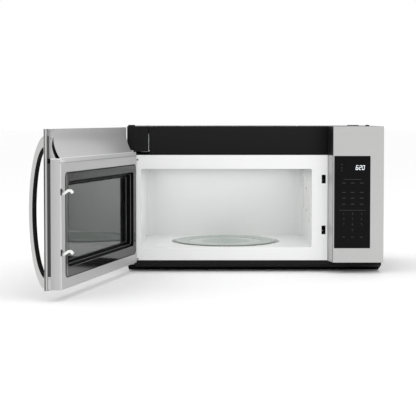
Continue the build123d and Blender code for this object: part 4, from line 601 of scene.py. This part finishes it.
def scoopGrey():
    # grey-painted plate above the oven window, with painted light: lighter towards the free end, and a painted
    # highlight along its lip
    look = scoop
    finish = Finish("scoopGrey")
    fine = finish.noise(1500.0)
    streak = finish.noise(1.0, finish.stretched(look["streaks"]))
    along, depth, height = finish.inDoor()
    shares = look["levels"]
    level = finish.reach(along, *look["paintedLightSpan"]) * shares[0] + streak * shares[1]
    lip = finish.band(height, *look["lip"])
    finish.surface(
        Base_Color=finish.mix(lip, finish.mix(level, *look["tones"]), look["lipHighlightTone"]),
        Roughness=finish.varied(streak, *look["rough"]),
        Normal=finish.bump(fine, *look["bump"]),
    )


gusset = {
    "top": 0.412,
    "foot": 0.3585,
    "tones": (0.54, 0.60),
    "edge": 0.0195,  # depth of the crescent's edge at the top, and how far it runs in below
    "edgeRun": 0.0118,
    "edgeBow": 2.6,
    "edgeSoft": 0.0006,
    "shadow": 0.0044,  # how far the painted shade reaches past that edge, and how soon it is full
    "shadowGrows": 2.2,
    "shadowFrom": (0.03, 0.02),
    "seamShade": (0.0030, 0.0094, 0.0012),  # painted shade in the seam along the skin's return
    "seamHeights": (0.3585, 0.4150, 0.004),
    "seamShadeShare": 0.72,
    "freeEnd": (0.5, 0.002),  # only the gusset past this gets painted shade
    # tone of the painted shade
    "dark": 0.012,
    "rough": (0.27, 0.08),
    "bump": (0.12, 0.00005),
}


def gussetGrey():
    # free end of the scoop: painted shade beside the crescent, wider than the opening, and in the seam along the
    # skin's return
    look = gusset
    finish = Finish("gussetGrey")
    fine = finish.noise(1400.0)
    cloud = finish.noise(9.0, detail=3.0)
    finish.surface(
        Base_Color=finish.mix(cloud, *look["tones"]),
        Roughness=finish.varied(cloud, *look["rough"]),
        Normal=finish.bump(fine, *look["bump"]),
    )
    along, depth, height = finish.inDoor()
    drop = finish.reach(height, look["top"], look["foot"])
    edge = drop ** look["edgeBow"] * look["edgeRun"] + look["edge"]
    edge = edge - (drop * look["shadowGrows"]).clamped() * look["shadow"]
    shadow = finish.above(depth, edge, look["edgeSoft"]) * finish.above(drop, *look["shadowFrom"])
    seamShade = finish.band(depth, *look["seamShade"]) * finish.band(height, *look["seamHeights"])
    shade = (shadow + seamShade * look["seamShadeShare"]) * finish.above(along, *look["freeEnd"])
    finish.paintShade(shade.clamped(), look["dark"])


# painted highlight along the bend, and painted shade on the slope below
base = {"bend": (0.0120, 0.0180, 0.003), "bendHighlightTone": 0.024, "tones": (0.0065, 0.0095),
        "slope": (0.0120, 0.003), "slopeShadeTone": 0.0008, "rough": (0.42, 0.1), "specular": 0.12,
        "bump": (0.2, 0.00006)}


def baseBlack():
    # trim under the white front: a painted highlight as a paler line along its bend, and deep painted shade on the
    # slope below
    look = base
    finish = Finish("baseBlack")
    fine = finish.noise(1800.0)
    cloud = finish.noise(coatGrain["clouds"], detail=3.0, roughness=0.55)
    height = finish.axis("Z")
    bend = finish.band(height, *look["bend"])
    finish.surface(
        Base_Color=finish.mix(bend, finish.mix(cloud, *look["tones"]), look["bendHighlightTone"]),
        Roughness=finish.varied(cloud, *look["rough"]),
        Specular_IOR_Level=look["specular"],
        Normal=finish.bump(fine, *look["bump"]),
    )
    finish.paintShade(finish.below(height, *look["slope"]), look["slopeShadeTone"])


# painted light: tones paler to the top, and painted shade along the foot and towards the control panel
grille = {"heights": (0.3494, 0.435), "tones": (0.0055, 0.0100), "footShadeLine": (0.3528, 0.001),
          "aside": (0.150, 0.2290), "asideShadeShare": 0.85, "dark": 0.0006, "rough": (0.40, 0.12),
          "specular": 0.12, "bump": (0.22, 0.00006)}


def grilleBlack():
    # vent band with painted light: paler to the top, painted shade in a dark line along its foot, and painted
    # shade towards the control panel
    look = grille
    finish = Finish("grilleBlack")
    fine = finish.noise(1800.0)
    across, height = finish.axis("X"), finish.axis("Z")
    finish.surface(
        Base_Color=finish.mix(finish.reach(height, *look["heights"]), *look["tones"]),
        Roughness=finish.varied(fine, *look["rough"]),
        Specular_IOR_Level=look["specular"],
        Normal=finish.bump(fine, *look["bump"]),
    )
    # painted shade towards the control panel and along the foot
    aside = finish.reach(across, *look["aside"]) ** 2.0 * look["asideShadeShare"]
    foot = finish.below(height, *look["footShadeLine"])
    finish.paintShade(foot.math("MAXIMUM", aside), look["dark"])


baseBlack()
grilleBlack()
housingGrey()
gussetGrey()
coverGrey()
trimBlack()
scoopGrey()

blackPane = {"tones": ((0.0045, 0.0045, 0.005), (0.0060, 0.0060, 0.0065)), "specular": 0.06,
             "rough": (0.05, 0.05), "bump": (0.03, 0.0001)}


def blackGlass():
    look = blackPane
    finish = Finish("blackGlass")
    cloud = finish.noise(12.0)
    finish.surface(
        Base_Color=finish.mix(cloud, *look["tones"]),
        Roughness=finish.varied(cloud, *look["rough"]),
        Specular_IOR_Level=look["specular"],
        Normal=finish.bump(cloud, *look["bump"]),
    )


# clear glass: tint, roughness, bump, refraction and scales of its waves
panes = {
    "doorGlass": ((0.55, 0.57, 0.56), (0.03, 0.02), (0.10, 0.0002), 1.62, (60.0, 60.0, 2.0)),
    "lampGlass": ((0.95, 0.94, 0.90), (0.18, 0.02), (0.3, 0.0002), 1.5, (30.0, 30.0, 30.0)),
}


def clearGlass(name, tint, rough, bump, refraction, scales):
    finish = Finish(name)
    cloud = finish.noise(1.0, finish.stretched(scales))
    deeper = tuple(part * (0.97 + 0.03 * part) for part in tint)
    finish.surface(
        Base_Color=finish.mix(cloud, tint, deeper),
        Roughness=finish.varied(cloud, *rough),
        Transmission_Weight=1.0,
        IOR=refraction,
        Normal=finish.bump(cloud, *bump),
    )


tray = {
    "middle": joints["turntable_spin"]["pos_m"][:2],
    "tint": (0.93, 0.985, 0.955),
    "deeper": 0.96,
    "clear": 0.82,
    "refraction": 1.5,
    "rough": (0.015, 0.02),
    "bump": (0.05, 0.0002),
    # from, to, how much painted shade: the coupler's hub, the inner step and the rim
    "rings": ((-1.0, 0.0125, 0.90), (0.0125, 0.0765, 0.22), (0.1120, 0.1480, 0.14)),
    "ringSoft": 0.003,
    "shade": (0.26, 0.34, 0.30),
}


def trayGlass():
    # moulded tray: painted shade in faint bands round its middle stands for its stepped rings and the coupler's
    # hub
    look = tray
    finish = Finish("trayGlass")
    cloud = finish.noise(30.0)
    finish.surface(
        Base_Color=finish.mix(cloud, look["tint"], dimmed(look["tint"], look["deeper"])),
        Roughness=finish.varied(cloud, *look["rough"]),
        Transmission_Weight=look["clear"],
        IOR=look["refraction"],
        Normal=finish.bump(cloud, *look["bump"]),
    )
    spots = [finish.axis(name) - centre for name, centre in zip("XY", look["middle"])]
    reach = (spots[0] ** 2 + spots[1] ** 2) ** 0.5
    shade = 0.0
    for start, end, level in look["rings"]:
        shade = finish.band(reach, start, end, look["ringSoft"]) * level + shade
    finish.paintShade(shade, look["shade"])


blackGlass()
trayGlass()
for name, look in panes.items():
    clearGlass(name, *look)
print("finishes made:", len(finishes))


slotFinish = {
    "black_enamel": "blackEnamel", "white_enamel": "whiteEnamel", "cavity_enamel": "cavityEnamel",
    "stainless": "stainless", "zinc_steel": "zincSteel", "galvanised": "galvanised",
    "black_plastic": "blackPlastic", "grey_plastic": "greyPlastic",
    "white_plastic": "whitePlastic", "tray_glass": "trayGlass", "door_glass": "doorGlass",
    "black_glass": "blackGlass", "mica": "mica", "aluminium": "castAluminium",
    "lamination": "lamination", "circuit_board": "circuitBoard", "filter_media": "filterMedia",
    "rubber": "rubber", "lamp_glass": "lampGlass",
}
nodeFinish = {  # nodes with a finish of their own, whatever their slot
    "door_skin": "stainlessDoor", "door_handle": "handleSteel", "grease_filters": "aluminiumMesh",
    "control_housing": "housingGrey", "choke_cover": "coverGrey", "scoop_plate": "scoopGrey",
    "door_core": "coreBlack", "latch_board": "blackPlastic", "window_trim": "trimBlack",
    "scoop_end_caps": "gussetGrey", "base_trim": "baseBlack", "vent_grille": "grilleBlack",
}
for row in frame["record"]["subparts"]:
    finishName = nodeFinish.get(row["node"]) or slotFinish[row["material_slot"]]
    for place in nodes[row["node"]].material_slots:
        place.material = finishes[finishName]
print("nodes dressed")


def newPiece(name, shape, body, finishName):
    # a piece of the scene's own from its bmesh, riding on a CAD body
    bmesh.ops.recalc_face_normals(shape, faces=shape.faces)
    skin = bpy.data.meshes.new(name)
    shape.to_mesh(skin)
    shape.free()
    skin.materials.append(finishes[finishName])
    piece = bpy.data.objects.new(name, skin)
    bpy.context.scene.collection.objects.link(piece)
    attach(piece, body)


# print on the touch glass, bars and plain digits: in mm, from the glass's left and lower edges
keypad = {
    "lift": 0.05,  # print stands this far in front of the glass
    "thickness": 0.04,
    "ink": ((0.015, 0.0155, 0.0155), (0.024, 0.0245, 0.0245)),
    "rough": (0.45, 0.1),
    "columns": (28.3, 54.1, 80.9),
    "digitRows": (99.1, 83.5, 67.6, 51.1),
    "digitHeight": 6.4,
    "digitSize": 1.4,  # font size to a digit's height
    "labelRows": (191.7, 164.3, 147.3, 129.4),
    "label": (11.0, 1.7),  # length and height
    "lastRow": 32.0,
    "lastLabel": (8.0, 1.7),
    "headers": ((27.0, 80.0, 202.6), (14.0, 92.0, 111.7)),  # left, right, height
    "headerHeight": 1.2,
    "iconRows": (246.0, 236.0, 228.0),
    "iconLeft": 20.3,
    "icon": 3.0,
}
# the display's lit digits: in mm
clock = {
    "text": "6:20",
    "left": 62.5,
    "foot": 231.5,
    "height": 13.2,
    "digit": 6.6,
    "pitch": 9.4,
    "stroke": 1.2,
    "gap": 0.25,  # between strokes that meet
    "lean": 0.16,
    "dots": (0.3, 0.7),  # shares of the height
    "dot": 1.2,
    "dotLeft": -1.6,
    "light": ((0.90, 0.96, 1.0), (0.98, 1.0, 1.0)),
    "glow": 0.45,
    "rough": (0.4, 0.1),
    "strokes": {"0": "abcdef", "2": "abged", "6": "acdefg"},
}


def printInk():
    finish = Finish("printInk")
    cloud = finish.noise(300.0)
    finish.surface(Base_Color=finish.mix(cloud, *keypad["ink"]),
                   Roughness=finish.varied(cloud, *keypad["rough"]))


def clockLight():
    finish = Finish("clockLight")
    cloud = finish.noise(900.0)
    light = finish.mix(cloud, *clock["light"])
    finish.surface(Base_Color=light, Roughness=finish.varied(cloud, *clock["rough"]),
                   Emission_Color=light, Emission_Strength=clock["glow"])


printInk()
clockLight()
glassLow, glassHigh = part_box("keypad_glass")


def onGlass(along, height):  # a place on the touch glass, in mm from its lower left corner
    return Vector((glassLow.x + along * mm, glassLow.y - keypad["lift"] * mm,
                   glassLow.z + height * mm))


def joinRings(shape, first, second):
    # faces between two rings that have as many points
    for number in range(len(first)):
        following = (number + 1) % len(first)
        shape.faces.new((first[number], first[following], second[following], second[number]))


def addPlate(shape, corners):
    # a thin plate of print from its front corners, going back towards the glass
    back = Vector((0.0, keypad["thickness"] * mm, 0.0))
    fronts = [shape.verts.new(corner) for corner in corners]
    backs = [shape.verts.new(corner + back) for corner in corners]
    shape.faces.new(fronts)
    shape.faces.new(backs[::-1])
    joinRings(shape, backs, fronts)


def addBar(shape, left, foot, width, height):
    corners = ((left, foot), (left + width, foot), (left + width, foot + height),
               (left, foot + height))
    addPlate(shape, [onGlass(*corner) for corner in corners])


def digitMesh(text, height):
    # a flat digit from the built-in font, as a mesh that lies in X and Z
    curve = bpy.data.curves.new("digit", "FONT")
    curve.body = text
    curve.size = height * keypad["digitSize"]
    curve.align_x = "CENTER"
    curve.extrude = 0.5 * keypad["thickness"] * mm
    curve.resolution_u = 2
    holder = bpy.data.objects.new("digit", curve)
    flat = bpy.data.meshes.new_from_object(holder)
    bpy.data.objects.remove(holder)
    bpy.data.curves.remove(curve)
    flat.transform(Matrix.Rotation(radians(90.0), 4, "X"))
    return flat


def keypadPrint():
    look = keypad
    ink = bmesh.new()
    for left, right, height in look["headers"]:
        addBar(ink, left, height, right - left, look["headerHeight"])
    for row in look["labelRows"]:
        for column in look["columns"]:
            addBar(ink, column - look["label"][0] / 2, row, *look["label"])
    for row in look["iconRows"]:
        addBar(ink, look["iconLeft"], row, look["icon"], look["icon"])
    for number, text in enumerate("1234567890"):
        row = look["digitRows"][number // 3]
        column = look["columns"][number % 3 if text != "0" else 1]  # 0 stands in the middle
        flat = digitMesh(text, look["digitHeight"] * mm)
        flat.transform(Matrix.Translation(onGlass(column, row)))
        ink.from_mesh(flat)
        bpy.data.meshes.remove(flat)
    for column in look["columns"]:
        addBar(ink, column - look["lastLabel"][0] / 2, look["lastRow"], *look["lastLabel"])
    newPiece("keypad_print", ink, "chassis", "printInk")


def clockStrokes(shape, left, text):
    # lit strokes of one digit, leaning to the right as on a slanted display
    look = clock
    tall, wide, stroke, gap = look["height"], look["digit"], look["stroke"], look["gap"]
    half = tall / 2
    spans = {
        "a": ((0.0, tall - stroke), (wide, tall)),
        "b": ((wide - stroke, half), (wide, tall)),
        "c": ((wide - stroke, 0.0), (wide, half)),
        "d": ((0.0, 0.0), (wide, stroke)),
        "e": ((0.0, 0.0), (stroke, half)),
        "f": ((0.0, half), (stroke, tall)),
        "g": ((0.0, half - stroke / 2), (wide, half + stroke / 2)),
    }
    for name in look["strokes"][text]:
        (x0, z0), (x1, z1) = spans[name]
        if name in "bcef":
            z0, z1 = z0 + gap, z1 - gap
        else:
            x0, x1 = x0 + gap, x1 - gap
        corners = ((x0, z0), (x1, z0), (x1, z1), (x0, z1))
        addPlate(shape, [onGlass(left + x + look["lean"] * z, look["foot"] + z)
                         for x, z in corners])


def clockDigits():
    look = clock
    light = bmesh.new()
    left = look["left"]
    for text in look["text"]:
        if text == ":":
            for share in look["dots"]:
                z = look["height"] * share
                addBar(light, left + look["lean"] * z + look["dotLeft"],
                       look["foot"] + z - look["dot"] / 2, look["dot"], look["dot"])
        else:
            clockStrokes(light, left, text)
            left += look["pitch"]
    newPiece("clock_digits", light, "chassis", "clockLight")


keypadPrint()
clockDigits()
print("touch glass printed")


# screw heads: in mm, apart from the shares of the radius and of the rise
screw = {
    "radius": 3.6,
    "rise": 1.5,
    "sides": 24,
    "dome": ((1.0, 0.0), (1.0, 0.45), (0.86, 0.80), (0.62, 0.96), (0.36, 1.0)),  # shares
    "recess": 0.8,
    "crossInner": 0.12,  # share of the radius that the recess's floor has between its arms
    "crossArm": 0.20,
}
# places in metres, radius in mm
fasteners = {
    "gussetSunk": 0.0012,
    "gussetSpot": (0.014, 0.408),  # depth and height in the door
    "gussetRadius": 1.2,
    "caseSpots": ((-0.335, 0.150), (0.335, 0.150), (-0.215, -0.150), (0.129, -0.150)),
    "caseTop": 0.435,
    "pinHeights": (0.171, 0.240),
    "pinLine": -0.002,
    "pinLift": 0.0001,
    "pinRadius": 2.4,
}


def panHead(shape, place, outwards, radius):
    # domed head with a cross pressed into it: a sunk floor that reaches out in four arms
    look = screw
    turn = Vector((0.0, 0.0, 1.0)).rotation_difference(outwards).to_matrix().to_4x4()
    seat = Matrix.Translation(place) @ turn
    angles = [2 * pi * side / look["sides"] for side in range(look["sides"])]
    levels = [([reach] * len(angles), rise * look["rise"]) for reach, rise in look["dome"]]
    cross = [look["crossInner"] + look["crossArm"] * abs(cos(2 * angle)) ** 3 for angle in angles]
    levels.append((cross, look["rise"] - look["recess"]))
    rings = []
    for reaches, rise in levels:
        spots = [Vector((reach * radius * cos(angle), reach * radius * sin(angle), rise)) * mm
                 for reach, angle in zip(reaches, angles)]
        rings.append([shape.verts.new(seat @ spot) for spot in spots])
    for lower, upper in zip(rings, rings[1:]):
        joinRings(shape, lower, upper)
    shape.faces.new(rings[0][::-1])
    shape.faces.new(rings[-1])


def screwGroup(name, body, finishName, spots, outwards, radius=screw["radius"]):
    heads = bmesh.new()
    for spot in spots:
        panHead(heads, Vector(spot), Vector(outwards), radius)
    newPiece(name, heads, body, finishName)


def inOpenDoor(along, depth, height):  # where a place of the door is, with the door open
    opened = Matrix.Rotation(-doorOpen, 3, "Z") @ Vector((along, depth - doorSkinDepth, 0.0))
    return Vector((hinge.x + opened.x, hinge.y + opened.y, height))


def alongDoor(point):  # how far along the open door a point lies, from the hinge
    return (Matrix.Rotation(doorOpen, 3, "Z") @ (Vector(point) - hinge)).x


endwards = inOpenDoor(1.0, 0.0, 0.0) - inOpenDoor(0.0, 0.0, 0.0)
gussetEnd = max(alongDoor(vertex.co) for vertex in nodes["scoop_end_caps"].data.vertices)
gussetSpot = inOpenDoor(gussetEnd - fasteners["gussetSunk"], *fasteners["gussetSpot"])
screwGroup("gusset_screw", "door", "zincSteel", [gussetSpot], endwards,
           fasteners["gussetRadius"])
caseSpots = [(*spot, fasteners["caseTop"]) for spot in fasteners["caseSpots"]]
screwGroup("casing_screws", "chassis", "zincSteel", caseSpots, (0.0, 0.0, 1.0))
coverLow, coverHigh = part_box("waveguide_cover")
pinSpots = [(coverLow.x + fasteners["pinLift"], fasteners["pinLine"], height)
            for height in fasteners["pinHeights"]]
screwGroup("waveguide_pins", "chassis", "rubber", pinSpots, (-1.0, 0.0, 0.0),
           fasteners["pinRadius"])


# closure at the foot of the door's dark edge strip, with its screw
edgeFoot = {
    "heights": (0.0305, 0.0630),
    "depths": (0.0093, 0.0167),
    "end": 0.5950,  # the door's slanted end at its outer face, and how it falls back with depth
    "slant": 0.2791,
    "sunk": 0.0010,
    "sheet": 0.0007,
    "eased": 0.00015,
    "screwHeight": 0.0585,
    "screwSunk": 0.0002,
    "screwRadius": 2.0,
}


def makeEdgeFoot():
    look = edgeFoot
    near, far = look["depths"]
    inner = look["sunk"] + look["sheet"]
    corners = []
    for depth, sunk in ((near, look["sunk"]), (far, look["sunk"]), (far, inner), (near, inner)):
        corners.append((look["end"] - look["slant"] * depth - sunk, depth))
    plate = bmesh.new()
    low, high = ([plate.verts.new(inOpenDoor(*corner, height)) for corner in corners]
                 for height in look["heights"])
    plate.faces.new(low[::-1])
    plate.faces.new(high)
    joinRings(plate, low, high)
    bmesh.ops.recalc_face_normals(plate, faces=plate.faces)
    bmesh.ops.bevel(plate, geom=list(plate.edges), offset=look["eased"], segments=2,
                    affect="EDGES")
    newPiece("edge_foot", plate, "door", "lightGreyPlastic")
    middle = (near + far) / 2
    along = look["end"] - look["slant"] * middle - look["sunk"] - look["screwSunk"]
    screwGroup("edge_screw", "door", "zincSteel",
               [inOpenDoor(along, middle, look["screwHeight"])], endwards, look["screwRadius"])


makeEdgeFoot()


# small blocks on the chassis: lowest and highest corner, slot, finish, how far edges are eased
blocks = {
    # the grille's end flange, in the slot beside the hinge cover
    "grille_flange": ((-0.3146, -0.1870, 0.3620), (-0.3122, -0.1865, 0.4340), "black_plastic",
                      "blackPlastic", 0.0001),
    # bright lower edge of the hinge cover
    "hinge_cover_edge": ((-0.3370, -0.1905, 0.3590), (-0.3165, -0.1890, 0.3598), "grey_plastic",
                         "greyPlastic", 0.0002),
    # bumpers on the white front, beside the open door
    "upper_bumper": ((-0.3512, -0.1885, 0.3333), (-0.3462, -0.1870, 0.3367), "rubber", "rubber",
                     0.0005),
    "lower_bumper": ((-0.3512, -0.1885, 0.0368), (-0.3462, -0.1870, 0.0402), "rubber", "rubber",
                     0.0005),
}


def chassisBlock(name, low, high, slot, finishName, eased):
    block = bmesh.new()
    bmesh.ops.create_cube(block, size=1.0)
    for vertex in block.verts:
        vertex.co = Vector(high[axis] if vertex.co[axis] > 0 else low[axis] for axis in range(3))
    bmesh.ops.bevel(block, geom=list(block.edges), offset=eased, segments=2, affect="EDGES")
    newPiece(name, block, "chassis", finishName)


for name, look in blocks.items():
    chassisBlock(name, *look)
print("fasteners and small pieces placed")


studio = {
    "floorHalf": 40.0,
    "floorTones": (0.975, 0.9799),
    "floorRough": (0.75, 0.1),
    "surround": 1.0,
    # place, aim, size in metres and watts of each soft light
    "lights": {
        "left_front": ((-2.4, -2.6, 1.9), (0.0, 0.0, 0.2), (1.8, 1.8), 5.5),
        "right_front": ((2.6, -2.4, 1.7), (0.0, 0.0, 0.2), (1.8, 1.8), 5.5),
        "overhead": ((0.0, -0.4, 2.8), (0.0, -0.2, 0.0), (3.0, 2.4), 12.0),
    },
    # a soft light under the oven's ceiling
    "cavityLight": 0.51,
    "cavityDrop": 0.012,
    "cavitySize": (0.44, 0.30),
}


def floorFinish():
    finish = Finish("studioFloor")
    cloud = finish.noise(0.6)
    finish.surface(Base_Color=finish.mix(cloud, *studio["floorTones"]),
                   Roughness=finish.varied(cloud, *studio["floorRough"]), Specular_IOR_Level=0.1)


def makeFloor():
    half = studio["floorHalf"]
    plane = bpy.data.meshes.new("studio_floor")
    corners = [(-half, -half, 0.0), (half, -half, 0.0), (half, half, 0.0), (-half, half, 0.0)]
    plane.from_pydata(corners, [], [(0, 1, 2, 3)])
    floor = bpy.data.objects.new("studio_floor", plane)
    floor.location.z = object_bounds()[0].z
    bpy.context.scene.collection.objects.link(floor)
    floorFinish()
    plane.materials.append(finishes["studioFloor"])


def makeSurround():
    world = bpy.data.worlds.new("studio")
    bpy.context.scene.world = world
    world.use_nodes = True
    shade = world.node_tree.nodes["Background"]
    shade.inputs["Color"].default_value = (1.0, 1.0, 1.0, 1.0)
    shade.inputs["Strength"].default_value = studio["surround"]


def softbox(name, place, target, size, power, glossy=True):
    lamp = bpy.data.lights.new(name, "AREA")
    lamp.shape = "RECTANGLE"
    lamp.size, lamp.size_y = size
    lamp.energy = power
    holder = bpy.data.objects.new(name, lamp)
    bpy.context.scene.collection.objects.link(holder)
    holder.location = place
    aim = Vector(target) - Vector(place)
    holder.rotation_euler = aim.to_track_quat("-Z", "Y").to_euler()
    holder.visible_camera = False
    holder.visible_glossy = glossy


def makeLights():
    for name, look in studio["lights"].items():
        softbox(name, *look)
    low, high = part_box("cavity_liner")
    middle = (low + high) / 2
    softbox("cavity_glow", (middle.x, middle.y, high.z - studio["cavityDrop"]),
            (middle.x, middle.y, low.z), studio["cavitySize"], studio["cavityLight"], False)


photoView = {
    "eye": (-0.1386, -3.687, 0.458),
    "focalPixels": 1175.0,
    "framePixels": 416.0,
    "levelRow": 118.5,  # pixel row that lies level with the eye
    "shift": -0.10,
    "sensor": 36.0,
    "farthest": 200.0,
}


def makeCamera():
    view = photoView
    camera = bpy.data.cameras.new("photo_view")
    camera.sensor_width = view["sensor"]
    camera.lens = view["focalPixels"] / view["framePixels"] * view["sensor"]
    camera.shift_y = view["shift"]
    camera.clip_end = view["farthest"]
    holder = bpy.data.objects.new("photo_view", camera)
    bpy.context.scene.collection.objects.link(holder)
    rise = view["framePixels"] * (0.5 + view["shift"]) - view["levelRow"]
    tilt = atan(rise / view["focalPixels"])
    holder.location = view["eye"]
    holder.rotation_euler = (pi / 2 - tilt, 0.0, 0.0)
    bpy.context.scene.camera = holder


makeFloor()
makeSurround()
makeLights()
makeCamera()
bpy.context.scene.view_settings.view_transform = "Standard"
print("stage and camera set")
